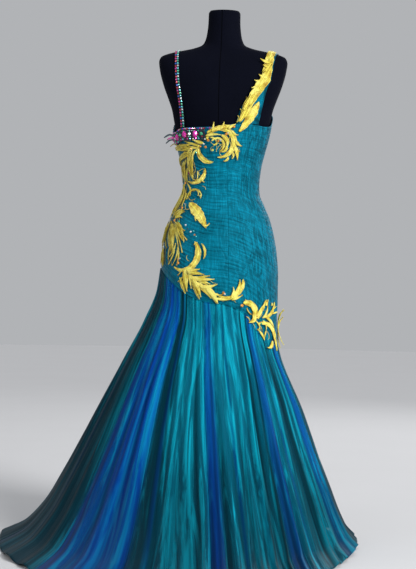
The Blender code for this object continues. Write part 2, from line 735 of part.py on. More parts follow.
def strap_point(part, share, side, out, form_tree):
    """A point on a strap, `out` above its inner face, from the bodice edge (0) to the shoulder (1).

    Rays swing from the bodice edge up to the shoulder out of the shoulder's core. The strap
    runs straight from the bodice to where it first touches the form, and rests just above
    the form from there on, raised by as much as the form bulges between two strap rows.
    """
    core, swing, ray = strap_ray(part, share, side)
    landing, landing_reach, landing_swing = strap_landing(part, side, form_tree)
    foot_reach, foot_swing = strap_foot(part, side)
    step = 1.0 / STRAP_ROWS[part.plan.name]
    here = form_reach(part, share, side, form_tree)
    bulge = 0.0
    for way in (-1, 1):
        far = form_reach(part, share + way * step, side, form_tree)
        for place in (0.25, 0.5, 0.75):
            between = form_reach(part, share + way * step * place, side, form_tree)
            bulge = max(bulge, between - mixed(here, far, place))
    reach = here + STRAP_REST + bulge
    if share < landing:
        area = foot_reach * landing_reach * math.sin(landing_swing - foot_swing)
        straight = area / (
            foot_reach * math.sin(swing - foot_swing) + landing_reach * math.sin(landing_swing - swing)
        )
        reach = max(straight, reach) if share > 0.1 else straight
    level = Vector((0.0, part.way, 0.0))
    outward = ray.lerp(level, 1 - eased(0.0, 0.25, share)).normalized()
    return core + ray * reach + outward * out


def strap_cover(across, up, out, form_tree):
    """A point `out` above the right strap's back at this place across and up."""
    part = next(p for p in strap_parts() if p.name == "strap_right_back")
    low, high = 0.0, 1.0
    for _ in range(18):
        share = (low + high) / 2
        if strap_point(part, share, 0.0, 0.0, form_tree).z < up:
            low = share
        else:
            high = share
    middle, edge = strap_across(part, share, 0.0), strap_across(part, share, 1.0)
    side = (across - middle) / (edge - middle)
    return strap_point(part, share, side, CLOTH + STRAP_LAY_GAP - LAY_GAP + out, form_tree)


def strap_parts():
    for plan in STRAPS:
        yield StrapPart(f"strap_{plan.name}_back", plan, -1)
        yield StrapPart(f"strap_{plan.name}_front", plan, 1)


def make_straps(finishes, form_tree):
    """Four strap parts, two for each shoulder. The left strap's outer face rises over its stones."""
    made = []
    for part in strap_parts():
        jewelled = part.plan.name == "left"
        rows = STRAP_ROWS[part.plan.name]
        sides = (-1.0, 0.0, 1.0) if jewelled else (-1.0, -0.5, 0.0, 0.5, 1.0)
        outer, inner = [], []
        for row in range(rows + 1):
            share = row / rows
            inner.append([strap_point(part, share, s, 0.0, form_tree) for s in sides])
            outer_row = []
            for s in sides:
                stone = STONE_HEIGHT if jewelled and s == 0.0 and row % 2 == 1 else 0.0
                outer_row.append(strap_point(part, share, s, CLOTH + stone, form_tree))
            outer.append(outer_row)
        made.append(wall(part.name, outer, inner, finishes["jewel_band" if jewelled else "bodice_teal"]))
    return made


def make_neckline_band(finish):
    """The jewelled band under the left of the back neckline, with a bump for each large stone."""
    columns = int((BAND_TO - BAND_FROM) / BAND_TURNS_PER_STONE)
    depths = (0.0, 0.25, 0.5, 0.75, 1.0)
    outer, inner = [], []
    for k, depth in enumerate(depths):
        outer_row, inner_row = [], []
        for j in range(columns + 1):
            turn = mixed(BAND_FROM, BAND_TO, j / columns)
            up = top_edge(turn) - 0.001 - BAND_HEIGHT * depth
            lay = ruche_cover(turn, up) + LAY_GAP
            stone = STONE_HEIGHT if (j + k) % 2 == 1 and 0 < k < 4 and 0 < j < columns else 0.0
            inner_row.append(sheath_point(turn, up, lay))
            outer_row.append(sheath_point(turn, up, lay + MOTIF_CLOTH + stone))
        outer.append(outer_row)
        inner.append(inner_row)
    return [wall("neckline_band", outer, inner, finish)]


def leaf_half_width(motif, share, notch):
    """Half width along a leaf: full in its lower half, pointed at the tip, cut in between lobes."""
    body = math.sin(math.pi * (0.10 + 0.90 * share) ** 0.85) ** 0.75
    half = motif.width / 2 * body * (0.58 if notch else 1.0)
    return max(half, 0.0012)


def motif_grids(motif, form_tree, drop=0.0):
    """Top and bottom grids of a motif, walked along its bent centreline over the cloth."""
    rows = motif.lobes * MOTIF_ROWS_PER_LOBE + 1
    step = motif.length / (rows - 1)
    turn, up = motif.turn, motif.up
    lift = LAY_GAP + motif.layer * MOTIF_LAYER - drop
    top, bottom = [], []
    for row in range(rows):
        share = row / (rows - 1)
        heading = math.radians(motif.heading + motif.bend * share)
        girth = (body_point(turn + 0.5, up) - body_point(turn - 0.5, up)).length
        half = leaf_half_width(motif, share, row % 2 == 0)
        sprung = lift + motif.spring * (2 * share - 1) ** 2
        top_row, bottom_row = [], []
        for side in (-1.0, 0.0, 1.0):
            side_turn = turn - side * half * math.sin(heading) / girth
            side_up = up + side * half * math.cos(heading)
            crown = MOTIF_CROWN if side == 0.0 else 0.0
            bottom_row.append(cover_point(side_turn, side_up, sprung, form_tree))
            top_row.append(cover_point(side_turn, side_up, sprung + MOTIF_CLOTH + crown, form_tree))
        top.append(top_row)
        bottom.append(bottom_row)
        middle = heading + math.radians(motif.bend) * 0.5 / (rows - 1)
        turn += step * math.cos(middle) / girth
        up += step * math.sin(middle)
    return top, bottom


def cell_point(grid, i, j, across, along):
    """A point inside one cell of a grid."""
    near = grid[i][j].lerp(grid[i][j + 1], across)
    far = grid[i + 1][j].lerp(grid[i + 1][j + 1], across)
    return near.lerp(far, along)


def room_below(top, bottom, under):
    """The least distance from a motif's underside down to the pieces that it lies on."""
    least = 1.0
    shares = [k / SETTLE_SAMPLES for k in range(SETTLE_SAMPLES + 1)]
    for i in range(len(bottom) - 1):
        for j in range(len(bottom[0]) - 1):
            for a in shares:
                for b in shares:
                    low = cell_point(bottom, i, j, a, b)
                    high = cell_point(top, i, j, a, b)
                    reach = under.ray_cast(low, (low - high).normalized(), 0.05)[3]
                    if reach is not None:
                        least = min(least, reach)
    return least


def make_applique(finish, form_tree, cloth):
    """Each motif is lowered until it just rests on the cloth or on the motif under it."""
    laid = list(cloth)
    for motif in MOTIFS:
        top, bottom = motif_grids(motif, form_tree)
        drop = room_below(top, bottom, tree_of(*laid)) - LAY_GAP
        if drop < 0.02:
            top, bottom = motif_grids(motif, form_tree, drop)
        laid.append(wall("applique_" + motif.name, top, bottom, finish))
    make_strap_frond(finish, form_tree)


def make_strap_frond(finish, form_tree):
    """The long frond that covers the right strap from the bodice edge to the shoulder."""
    part = next(p for p in strap_parts() if p.name == "strap_right_back")
    rows = STRAP_ROWS["right"]
    top, bottom = [], []
    for row in range(1, rows + 1):
        share = min(row / rows, 0.99)
        half = FROND_HALF * (0.60 if row % 2 == 0 else 1.0) * (1 - 0.3 * share)
        over_leaf = 1 - eased(0.25, 0.40, share)
        lift = STRAP_LAY_GAP + FROND_OVER_LEAF * over_leaf
        width = strap_across(part, share, 1.0) - strap_across(part, share, 0.0)
        middle = min(FROND_HALF * (1 - 0.3 * share) - width, 0.0) / width
        sides = [middle + s * half / width for s in (-1.0, 0.0, 1.0)]
        crowns = (0.0, MOTIF_CROWN, 0.0)
        bottom.append([strap_point(part, share, s, CLOTH + lift, form_tree) for s in sides])
        top.append(
            [
                strap_point(part, share, s, CLOTH + lift + MOTIF_CLOTH + crown, form_tree)
                for s, crown in zip(sides, crowns)
            ]
        )
    wall("applique_strap_frond", top, bottom, finish)


def main():
    for obj in list(bpy.data.objects):
        bpy.data.objects.remove(obj)
    finishes = {name: make_finish(name) for name in COLOURS}
    form = make_form(finishes["form_cloth"])
    form_tree = tree_of(form)
    make_stand(finishes["stand_metal"])
    cloth = make_bodice(finishes["bodice_teal"])
    cloth += make_straps(finishes, form_tree)
    cloth += make_neckline_band(finishes["jewel_band"])
    cloth += make_net_skirt(finishes)
    make_lining(finishes["lining_teal"])
    make_applique(finishes["gold_applique"], form_tree, cloth)


main()
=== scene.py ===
"""Looks of the mermaid prom dress: ruched bodice, layered net skirt, gold appliqué, jewelled
strap and neckline, and the dress form that it stands on. Metres, +Z up, floor at z = 0.

A place on the dress is a turn and a height. The turn is in degrees round the body: 0 at the
centre back, 90 at the wearer's right side (+X), 180 at the centre front (+Y).
"""

import math
from collections import namedtuple

import bmesh
import bpy
import numpy as np
from bpy.props import FloatProperty, FloatVectorProperty, IntProperty, PointerProperty
from mathutils import Matrix, Vector
from mathutils.bvhtree import BVHTree


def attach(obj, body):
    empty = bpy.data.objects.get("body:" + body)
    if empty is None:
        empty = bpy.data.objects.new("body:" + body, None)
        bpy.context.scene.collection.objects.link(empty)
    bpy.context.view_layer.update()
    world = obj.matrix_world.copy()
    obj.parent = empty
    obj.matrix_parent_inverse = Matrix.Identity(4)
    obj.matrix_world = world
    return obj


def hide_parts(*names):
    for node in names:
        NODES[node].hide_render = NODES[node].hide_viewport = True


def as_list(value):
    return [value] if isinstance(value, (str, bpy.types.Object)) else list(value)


bl_info = {
    "name": "Mermaid prom dress",
    "version": (1, 0, 0),
    "blender": (4, 5, 0),
    "location": "3D View > Sidebar > Gown",
    "description": "Builds the looks of a ruched mermaid gown on its dress form",
    "category": "Object",
}

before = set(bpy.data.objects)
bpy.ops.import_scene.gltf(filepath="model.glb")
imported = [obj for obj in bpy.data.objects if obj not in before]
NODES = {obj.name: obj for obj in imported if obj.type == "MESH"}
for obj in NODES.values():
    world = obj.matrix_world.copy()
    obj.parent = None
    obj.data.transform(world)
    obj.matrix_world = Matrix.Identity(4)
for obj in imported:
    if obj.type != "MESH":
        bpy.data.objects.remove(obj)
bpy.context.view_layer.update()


def named_rows(columns, *rows):
    """Rows under named columns."""
    kind = namedtuple("Row", columns)
    return tuple(kind(*row) for row in rows)


# Walls and gaps, as in the solids
CLOTH = 0.0020
NET = 0.0018
LAY_GAP = 0.0005
FORM_CLEARANCE = 0.0056
RUCHE_HEIGHT = 0.0026
RUCHE_FADE = 0.014
MOTIF_CLOTH = 0.0014
MOTIF_CROWN = 0.0007
MOTIF_RAISED = MOTIF_CROWN + 0.0009
STRAP_CLOTH = 0.0014
STRAP_GAP = 0.0007
MOTIF_LAYER = 0.0027
BAND_HEIGHT = 0.036
BAND_FROM, BAND_TO = -104.0, -17.0
SHOULDER_CORE_UP = 1.300

SHEATH = named_rows(
    "up side back front",
    (1.262, 0.1560, 0.1070, 0.1080), (1.222, 0.1480, 0.1050, 0.1190), (1.180, 0.1405, 0.0985, 0.1270),
    (1.122, 0.1262, 0.0890, 0.1180), (1.073, 0.1145, 0.0800, 0.1040), (1.022, 0.1095, 0.0760, 0.0940),
    (1.000, 0.1110, 0.0775, 0.0930), (0.970, 0.1235, 0.0850, 0.0950), (0.930, 0.1415, 0.0990, 0.1010),
    (0.880, 0.1555, 0.1170, 0.1080), (0.830, 0.1645, 0.1300, 0.1120), (0.780, 0.1685, 0.1350, 0.1140),
    (0.710, 0.1695, 0.1340, 0.1140), (0.650, 0.1685, 0.1290, 0.1140), (0.600, 0.1700, 0.1250, 0.1150),
    (0.540, 0.1760, 0.1250, 0.1170),
)

BUST_TURN, BUST_UP = 36.0, 1.165
BUST_OUT, BUST_WIDE, BUST_TALL = 0.012, 20.0, 0.050

FORM_TOP = named_rows(
    "up side back front square ahead",
    (1.205, 0.1390, 0.0965, 0.1165, 2.02, 0.000), (1.240, 0.1460, 0.0975, 0.1070, 2.12, 0.000),
    (1.272, 0.1570, 0.0975, 0.0930, 2.35, 0.000), (1.310, 0.1710, 0.0950, 0.0780, 2.60, 0.000),
    (1.350, 0.1820, 0.0860, 0.0660, 2.80, 0.000), (1.378, 0.1860, 0.0740, 0.0560, 2.90, 0.002),
    (1.393, 0.1810, 0.0640, 0.0500, 2.80, 0.004), (1.402, 0.1640, 0.0580, 0.0480, 2.60, 0.006),
    (1.411, 0.1280, 0.0540, 0.0490, 2.30, 0.008), (1.420, 0.0880, 0.0520, 0.0500, 2.10, 0.010),
    (1.432, 0.0610, 0.0510, 0.0510, 2.00, 0.012), (1.456, 0.0510, 0.0490, 0.0500, 2.00, 0.014),
    (1.495, 0.0465, 0.0465, 0.0465, 2.00, 0.016), (1.522, 0.0460, 0.0460, 0.0460, 2.00, 0.018),
    (1.530, 0.0420, 0.0420, 0.0420, 2.00, 0.018),
)
FORM_BASE_UP = 0.655

TOP_EDGE = named_rows(
    "turn up",
    (-180, 1.200), (-163, 1.222), (-143, 1.243), (-122, 1.236), (-106, 1.206), (-90, 1.178), (-70, 1.176),
    (-51, 1.186), (-20, 1.187), (4, 1.190), (15, 1.196), (32, 1.199), (46, 1.196), (62, 1.193),
    (76, 1.195), (90, 1.208), (104, 1.228), (122, 1.240), (143, 1.243), (163, 1.222), (180, 1.200),
)
SEAM_LEFT, SEAM_RIGHT, SEAM_BACK, SEAM_FRONT = 0.782, 0.562, 0.688, 0.664

PANELS = named_rows(
    "name start end columns rows",
    ("bodice_back_left", -90, 12, 92, 270),
    ("bodice_back_right", 12, 90, 72, 270),
    ("bodice_front_right", 90, 180, 64, 220),
    ("bodice_front_left", 180, 270, 64, 220),
)

FLARE = named_rows(
    "share left_out left_up right_out right_up back_out back_up front_out front_up",
    (0.00, 0.1685, 0.782, 0.1735, 0.562, 0.1330, 0.688, 0.1140, 0.664),
    (0.08, 0.1740, 0.722, 0.1830, 0.522, 0.1410, 0.630, 0.1200, 0.606),
    (0.20, 0.2080, 0.632, 0.2080, 0.458, 0.1680, 0.556, 0.1400, 0.522),
    (0.33, 0.2640, 0.520, 0.2400, 0.382, 0.2140, 0.462, 0.1680, 0.424),
    (0.46, 0.3200, 0.404, 0.2680, 0.302, 0.2740, 0.360, 0.1960, 0.326),
    (0.58, 0.3740, 0.292, 0.2960, 0.226, 0.3440, 0.262, 0.2220, 0.236),
    (0.70, 0.4320, 0.180, 0.3260, 0.150, 0.4300, 0.166, 0.2500, 0.148),
    (0.80, 0.4860, 0.090, 0.3520, 0.086, 0.5260, 0.082, 0.2720, 0.080),
    (0.89, 0.5440, 0.030, 0.3800, 0.032, 0.6500, 0.018, 0.2900, 0.030),
    (1.00, 0.6100, 0.000, 0.4100, 0.000, 0.8400, 0.000, 0.3040, 0.000),
)

FOLD_SWING = named_rows(
    "turn swing",
    (-180, 0.0), (-120, 8.0), (-85, 14.0), (-50, 19.0), (-10, 20.0), (30, 12.0), (80, 5.0), (180, 0.0),
)

GORES = named_rows(
    "name start end folds colour",
    ("skirt_left_teal", -90, -61, 3, "teal"),
    ("skirt_left_back_blue", -61, -37, 3, "blue"),
    ("skirt_back_left_teal", -37, -11, 4, "teal"),
    ("skirt_back_blue", -11, -4, 1, "blue"),
    ("skirt_back_teal", -4, 29, 5, "teal"),
    ("skirt_right_back_blue", 29, 37, 1, "blue"),
    ("skirt_right_back_teal", 37, 64, 4, "teal"),
    ("skirt_right_blue", 64, 80, 2, "blue"),
    ("skirt_right_front_teal", 80, 138, 4, "teal"),
    ("skirt_front_blue", 138, 150, 1, "blue"),
    ("skirt_front_teal", 150, 230, 5, "teal"),
    ("skirt_front_left_blue", 230, 244, 1, "blue"),
    ("skirt_left_front_teal", 244, 270, 2, "teal"),
)
FOLD_WIDTHS = np.array((1.00, 1.35, 0.80, 1.15, 0.90))
FOLD_DEPTHS = np.array((1.00, 0.72, 1.12, 0.60, 0.88, 1.05, 0.66))
FOLD_TOP, FOLD_HEM = 0.0022, 0.0260
FOLD_LATE = 0.30
NET_COLUMNS_PER_FOLD = 15
NET_ROWS = 110

LINING_INSET = named_rows(
    "share inward fold",
    (0.00, 0.0024, 0.0000), (0.08, 0.0070, 0.0020), (0.20, 0.0180, 0.0080), (0.40, 0.0330, 0.0150),
    (0.65, 0.0480, 0.0200), (1.00, 0.0620, 0.0220),
)
LINING_HEM = {"left": 0.86, "right": 0.93, "back": 0.84, "front": 0.95}
LINING_TUCK = 0.004
LINING_HALVES = named_rows(
    "name start end folds columns rows",
    ("lining_back", -90, 90, 8, 224, 110),
    ("lining_front", 90, 270, 5, 140, 90),
)

STRAPS = named_rows(
    "name edge_across edge_half middle_across middle_half top_across top_half",
    ("left", -0.1080, 0.0065, -0.1240, 0.0060, -0.1335, 0.0060),
    ("right", 0.0775, 0.0320, 0.1280, 0.0130, 0.1480, 0.0120),
)
STRAP_FRONT_TURN = {"left": -143.0, "right": 143.0}
STRAP_ROWS = 70
STRAP_STONE_PITCH, STRAP_STONE_RADIUS = 0.0078, 0.0029

# The appliqué's leaves and scrolls: place of the root, heading there (0 right, 90 up), how far each
# bends, its size, its lobes, its layer, how far its ends spring clear, and its body's shape: where
# it is widest, how wide its root is, how much of the width it fills, and its slender strands.
MOTIFS = named_rows(
    "name turn up heading bend length width lobes layer spring widest root fill strands",
    ("neck_scroll", -15, 1.152, 78, -262, 0.186, 0.021, 8, 0, 0, 0.62, 0.55, 0.78, 0),
    ("neck_frond", -14, 1.172, 30, -32, 0.080, 0.015, 4, 1, 0, 0.45, 0.50, 0.85, 0),
    ("neck_inner_scroll", -9, 1.148, 56, -215, 0.072, 0.009, 4, 0, 0, 0.55, 0.50, 0.90, 0),
    ("breast_curl", -26, 1.138, -118, 130, 0.076, 0.023, 4, 0, 0, 0.50, 0.45, 0.72, 0),
    ("breast_leaf", -34, 1.130, 178, 8, 0.100, 0.013, 4, 0, 0, 0.40, 0.45, 0.42, 5),
    ("breast_leaf_low", -40, 1.117, -164, 14, 0.066, 0.012, 3, 0, 0, 0.40, 0.45, 0.42, 5),
    ("vine_leaf_upper", -38, 1.112, -116, 40, 0.070, 0.016, 4, 0, 0, 0.40, 0.45, 0.42, 5),
    ("vine_leaf_outer", -60, 1.092, -98, 14, 0.058, 0.015, 3, 0, 0, 0.40, 0.45, 0.42, 5),
    ("crescent_upper", -53, 1.034, -29, 125, 0.083, 0.021, 4, 0, 0, 0.60, 0.30, 0.62, 0),
    ("vine_scroll", -50, 0.980, 112, -215, 0.082, 0.008, 4, 0, 0, 0.40, 0.60, 0.70, 0),
    ("waist_leaf", -42, 0.970, -30, -34, 0.100, 0.035, 5, 0, 0, 0.36, 0.55, 0.80, 0),
    ("vine_stem", -68, 1.026, -78, -46, 0.104, 0.014, 5, 0, 0, 0.40, 0.45, 0.42, 5),
    ("fan_leaf_rising", -62, 0.932, 44, -30, 0.036, 0.013, 2, 0, 0, 0.40, 0.45, 0.42, 5),
    ("fan_leaf_inner", -52, 0.914, -46, -18, 0.070, 0.014, 3, 0, 0, 0.40, 0.45, 0.42, 5),
    ("fan_leaf_middle", -63, 0.910, -74, 14, 0.094, 0.020, 4, 0, 0, 0.40, 0.45, 0.42, 5),
    ("fan_leaf_outer", -80, 0.916, -86, -12, 0.078, 0.016, 4, 0, 0, 0.40, 0.45, 0.42, 5),
    ("hip_leaf", -72, 0.842, -80, 4, 0.056, 0.018, 3, 0, 0, 0.40, 0.45, 0.42, 5),
    ("crescent_lower", -45, 0.788, -36, 170, 0.142, 0.027, 6, 0, 0, 0.66, 0.22, 0.72, 0),
    ("crescent_twin", -12, 0.812, 62, 79, 0.047, 0.009, 3, 0, 0, 0.50, 0.30, 0.80, 0),
    ("spray_leaf_first", -37, 0.758, -64, -8, 0.050, 0.028, 3, 0, 0, 0.40, 0.35, 0.42, 0),
    ("spray_leaf_long", -30, 0.764, -8, -28, 0.074, 0.020, 4, 0, 0, 0.40, 0.35, 0.55, 0),
    ("spray_leaf_second", -23, 0.742, -50, -26, 0.050, 0.021, 3, 0, 0, 0.40, 0.35, 0.55, 0),
    ("spray_leaf_third", -10, 0.734, -44, -20, 0.060, 0.020, 3, 0, 0, 0.40, 0.35, 0.55, 0),
    ("spray_leaf_right", -13, 0.736, -9, 34, 0.046, 0.012, 3, 1, 0, 0.40, 0.30, 0.60, 0),
    ("seam_stem", 1, 0.716, -42, 142, 0.112, 0.019, 6, 0, 0, 0.80, 0.40, 0.62, 0),
    ("side_scroll", 27, 0.689, 21, -188, 0.092, 0.022, 4, 0, 0, 0.36, 0.75, 0.82, 0),
    ("side_leaf_slim", 44, 0.644, 61, 4, 0.062, 0.012, 3, 0, 0, 0.55, 0.35, 0.70, 0),
    ("side_leaf_hook", 51, 0.650, -7, 98, 0.072, 0.016, 3, 0, 0, 0.45, 0.45, 0.75, 0),
    ("side_leaf_long", 44, 0.630, 18, -140, 0.130, 0.020, 6, 0, 0, 0.60, 0.40, 0.80, 0),
    ("side_leaf_low", 42, 0.614, -40, -40, 0.036, 0.010, 2, 0, 0, 0.45, 0.35, 0.70, 0),
    ("side_leaf_edge", 90, 0.562, 93, -6, 0.108, 0.015, 4, 0, 0.014, 0.35, 0.40, 0.50, 0),
    ("strap_leaf", 23, 1.176, 48, 24, 0.100, 0.030, 4, 0, 0, 0.58, 0.30, 0.95, 0),
)
MOTIF_SIDES = (-1, -0.93, -0.82, -0.62, -0.42, -0.22, -0.09, 0, 0.09, 0.22, 0.42, 0.62, 0.82, 0.93, 1)
LOBE_SIDES = (-1, -0.85, -0.45, 0, 0.45, 0.85, 1)
ROWS_PER_LOBE = 10
LOBE_ROWS = 12
LEAF_SLANT = 0.85

TIP_WIDTH = 0.07
EDGE_CUT = 0.14
STRANDED_SHARE = 0.72
STRAND_BEND = 22.0
STRAND_WIDTH = 0.0038
FROND_HALF = 0.0150
FROND_TAPER = 0.30
FROND_ROWS = 90
FROND_GAP, FROND_RISE = 0.0012, 0.0030
LOBE_RAISED = 0.0011

# Pointed lobes and teeth of the leaves: place of the root, heading there (0 right, 90 up), how far
# it bends, and which layer of the embroidery it lies in.
LEAFLET = "turn up heading bend length width layer"
LEAFLETS = {
    "spray": named_rows(
        LEAFLET,
        (-30.9, 0.7810, -84, 4, 0.0629, 0.017, 1), (-32.0, 0.7781, -86, -18, 0.0460, 0.006, 0),
        (-26.3, 0.7715, -76, -6, 0.0445, 0.008, 1), (-26.9, 0.7757, -55, -24, 0.0680, 0.011, 1),
        (-21.8, 0.7562, -50, -29, 0.0580, 0.012, 2), (-29.1, 0.7769, 5, 8, 0.0411, 0.011, 1),
        (-27.4, 0.7742, -3, -8, 0.0493, 0.012, 2), (-23.4, 0.7590, -10, 14, 0.0664, 0.013, 1),
        (-17.7, 0.7580, 17, -13, 0.0372, 0.007, 0), (-16.7, 0.7538, -10, -21, 0.0371, 0.008, 0),
        (-17.6, 0.7438, -32, -29, 0.0594, 0.015, 1), (-14.5, 0.7342, -9, 34, 0.0484, 0.012, 2),
        (-8.7, 0.7332, -37, -35, 0.0593, 0.016, 2), (-5.3, 0.7306, -70, 89, 0.0451, 0.007, 2),
        (-0.5, 0.7028, -14, 31, 0.0576, 0.008, 1), (14.6, 0.7008, 49, 59, 0.0362, 0.009, 1),
        (16.5, 0.7009, 45, 51, 0.0602, 0.014, 1), (15.6, 0.6991, 11, 26, 0.0343, 0.007, 1),
        (-34.5, 0.7836, -105, -44, 0.0252, 0.004, 0), (-33.0, 0.7625, -118, -36, 0.0237, 0.004, 0),
        (-36.5, 0.7522, -67, -10, 0.0163, 0.003, 0),
    ),
    "side": named_rows(
        LEAFLET,
        (31.7, 0.6872, 107, 23, 0.0148, 0.006, 0), (37.8, 0.6815, 99, 36, 0.0167, 0.006, 0),
        (41.3, 0.6557, -95, -93, 0.0380, 0.009, 1), (42.7, 0.6456, 67, -15, 0.0503, 0.009, 0),
        (50.2, 0.6469, 27, 77, 0.0456, 0.007, 0), (53.9, 0.6823, 66, -6, 0.0196, 0.009, 1),
        (66.9, 0.6592, 8, -2, 0.0299, 0.006, 1), (67.8, 0.6730, 3, 29, 0.0213, 0.005, 0),
        (63.4, 0.6822, 23, 128, 0.0096, 0.005, 1), (55.4, 0.6481, -24, -36, 0.0455, 0.009, 1),
        (64.9, 0.6230, -20, -68, 0.0250, 0.007, 0), (67.8, 0.5939, -39, -110, 0.0287, 0.008, 1),
        (62.3, 0.5802, -105, -89, 0.0387, 0.012, 1), (51.0, 0.6397, -24, -108, 0.0397, 0.005, 0),
        (54.1, 0.6092, -132, 20, 0.0243, 0.005, 0), (40.0, 0.6397, -30, -66, 0.0307, 0.005, 0),
        (44.6, 0.6240, -84, -107, 0.0170, 0.003, 0), (31.3, 0.6758, -75, 45, 0.0244, 0.003, 0),
        (29.6, 0.6509, -13, -85, 0.0180, 0.003, 0),
    ),
    "neck": named_rows(
        LEAFLET,
        (-7.9, 1.1749, 72, 18, 0.0283, 0.006, 2), (1.8, 1.1827, 49, 37, 0.0232, 0.007, 2),
        (10.7, 1.1840, 52, -36, 0.0236, 0.008, 2), (15.4, 1.1784, -74, 78, 0.0224, 0.006, 1),
        (20.1, 1.1510, -67, 56, 0.0254, 0.009, 1), (20.2, 1.1369, -81, 64, 0.0232, 0.006, 0),
        (19.3, 1.1354, -60, -28, 0.0421, 0.011, 1), (17.3, 1.1171, -47, -87, 0.0195, 0.006, 1),
        (11.8, 1.1042, -85, -105, 0.0190, 0.007, 1), (-15.6, 1.1623, 24, -40, 0.0437, 0.008, 1),
        (2.8, 1.1649, -16, -103, 0.0443, 0.012, 1), (9.0, 1.1363, -67, -139, 0.0305, 0.008, 1),
        (-10.8, 1.1578, 16, -106, 0.0258, 0.005, 0), (-3.2, 1.1468, -63, -134, 0.0159, 0.005, 0),
        (-19.3, 1.1426, 174, -23, 0.0336, 0.010, 1), (-24.6, 1.1342, 166, -5, 0.0508, 0.008, 0),
        (-27.8, 1.1275, 166, 39, 0.0580, 0.008, 0), (-31.6, 1.1287, 176, 82, 0.0448, 0.007, 1),
        (-36.7, 1.1413, -168, -14, 0.0286, 0.005, 0),
    ),
    "left": named_rows(
        LEAFLET,
        (-42.5, 1.1178, -128, 45, 0.0545, 0.006, 0), (-37.6, 1.1218, -130, 65, 0.0579, 0.007, 0),
        (-31.1, 1.1231, -142, 50, 0.0388, 0.006, 1), (-51.9, 1.1196, -129, -35, 0.0351, 0.006, 0),
        (-70.5, 1.1009, 168, 202, 0.0425, 0.004, 0), (-52.7, 1.0956, -133, 37, 0.0513, 0.005, 0),
        (-51.8, 1.0723, -119, 44, 0.0476, 0.006, 0), (-61.2, 1.0496, -91, -31, 0.0434, 0.005, 0),
        (-45.8, 1.0607, -100, 87, 0.0329, 0.004, 0), (-32.6, 1.0633, -82, -35, 0.0284, 0.004, 0),
        (-26.8, 1.0387, -33, -15, 0.0125, 0.005, 1), (-56.3, 1.0291, -41, -56, 0.0437, 0.005, 0),
        (-35.7, 1.0099, -28, -75, 0.0218, 0.004, 0), (-75.9, 1.0089, -64, -13, 0.0482, 0.006, 0),
        (-55.7, 0.9995, -92, 5, 0.0389, 0.005, 0), (-68.8, 0.9695, -84, -1, 0.0436, 0.006, 0),
        (-32.0, 0.9550, -137, 114, 0.0208, 0.008, 0), (-24.5, 0.9379, -124, 64, 0.0206, 0.008, 0),
        (-15.4, 0.9141, -98, 183, 0.0285, 0.007, 1), (-60.1, 0.9278, 43, -27, 0.0347, 0.009, 0),
        (-59.3, 0.9249, 43, -76, 0.0291, 0.008, 0), (-57.0, 0.9157, -32, 4, 0.0517, 0.005, 0),
        (-56.5, 0.9099, -34, -10, 0.0738, 0.005, 0), (-56.1, 0.9059, -47, 10, 0.0656, 0.004, 0),
        (-55.8, 0.9002, -40, -33, 0.0874, 0.005, 0), (-57.1, 0.9002, -44, -34, 0.0821, 0.005, 0),
        (-61.8, 0.9116, -46, -52, 0.0775, 0.005, 0), (-66.5, 0.9174, -73, 0, 0.0687, 0.005, 0),
        (-70.1, 0.9174, -126, 63, 0.0608, 0.005, 0), (-69.6, 0.8611, -67, 30, 0.0271, 0.003, 0),
        (-46.7, 0.8547, -89, -65, 0.0528, 0.005, 0), (-42.7, 0.8435, -80, -54, 0.0574, 0.005, 0),
        (-46.6, 0.8350, -105, -24, 0.0464, 0.005, 0), (-40.6, 0.8324, -81, -28, 0.0418, 0.005, 0),
        (-56.1, 0.8431, -97, 16, 0.0359, 0.004, 0), (-19.1, 0.8557, 178, 68, 0.0117, 0.005, 1),
    ),
    "strap": named_rows(
        LEAFLET,
        (19.5, 1.2024, 33, 102, 0.0217, 0.006, 0), (23.4, 1.2209, 52, 94, 0.0218, 0.005, 0),
        (29.5, 1.2546, 66, 62, 0.0209, 0.005, 0), (38.8, 1.3052, -144, -24, 0.0143, 0.005, 2),
        (43.7, 1.3204, -171, -36, 0.0169, 0.006, 2), (49.5, 1.3345, -167, -64, 0.0180, 0.007, 2),
        (55.2, 1.3574, -152, 21, 0.0188, 0.006, 2), (58.1, 1.3616, -177, -39, 0.0240, 0.007, 2),
        (59.3, 1.3752, -178, -38, 0.0372, 0.009, 2), (22.0, 1.2054, 57, 25, 0.0497, 0.013, 4),
        (28.1, 1.2166, 71, -10, 0.0499, 0.012, 4), (26.0, 1.2371, 68, 1, 0.0470, 0.012, 4),
        (32.1, 1.2500, 73, -21, 0.0461, 0.012, 3), (31.5, 1.2706, 65, -12, 0.0404, 0.012, 3),
        (37.4, 1.2773, 68, -19, 0.0462, 0.012, 2), (38.0, 1.2986, 66, -24, 0.0384, 0.011, 2),
        (43.4, 1.3016, 61, -3, 0.0505, 0.011, 2), (45.4, 1.3226, 61, -15, 0.0377, 0.011, 2),
        (51.3, 1.3262, 56, 5, 0.0522, 0.012, 2), (53.0, 1.3489, 64, -32, 0.0395, 0.011, 2),
        (57.7, 1.3769, 62, -41, 0.0355, 0.008, 2),
    ),
}
LEAFLET_LAYER = 0.0021
LEAFLET_PAD = 0.0024
LEAFLETS_FLAT = 0.12
STONE_LIFT = 0.0044

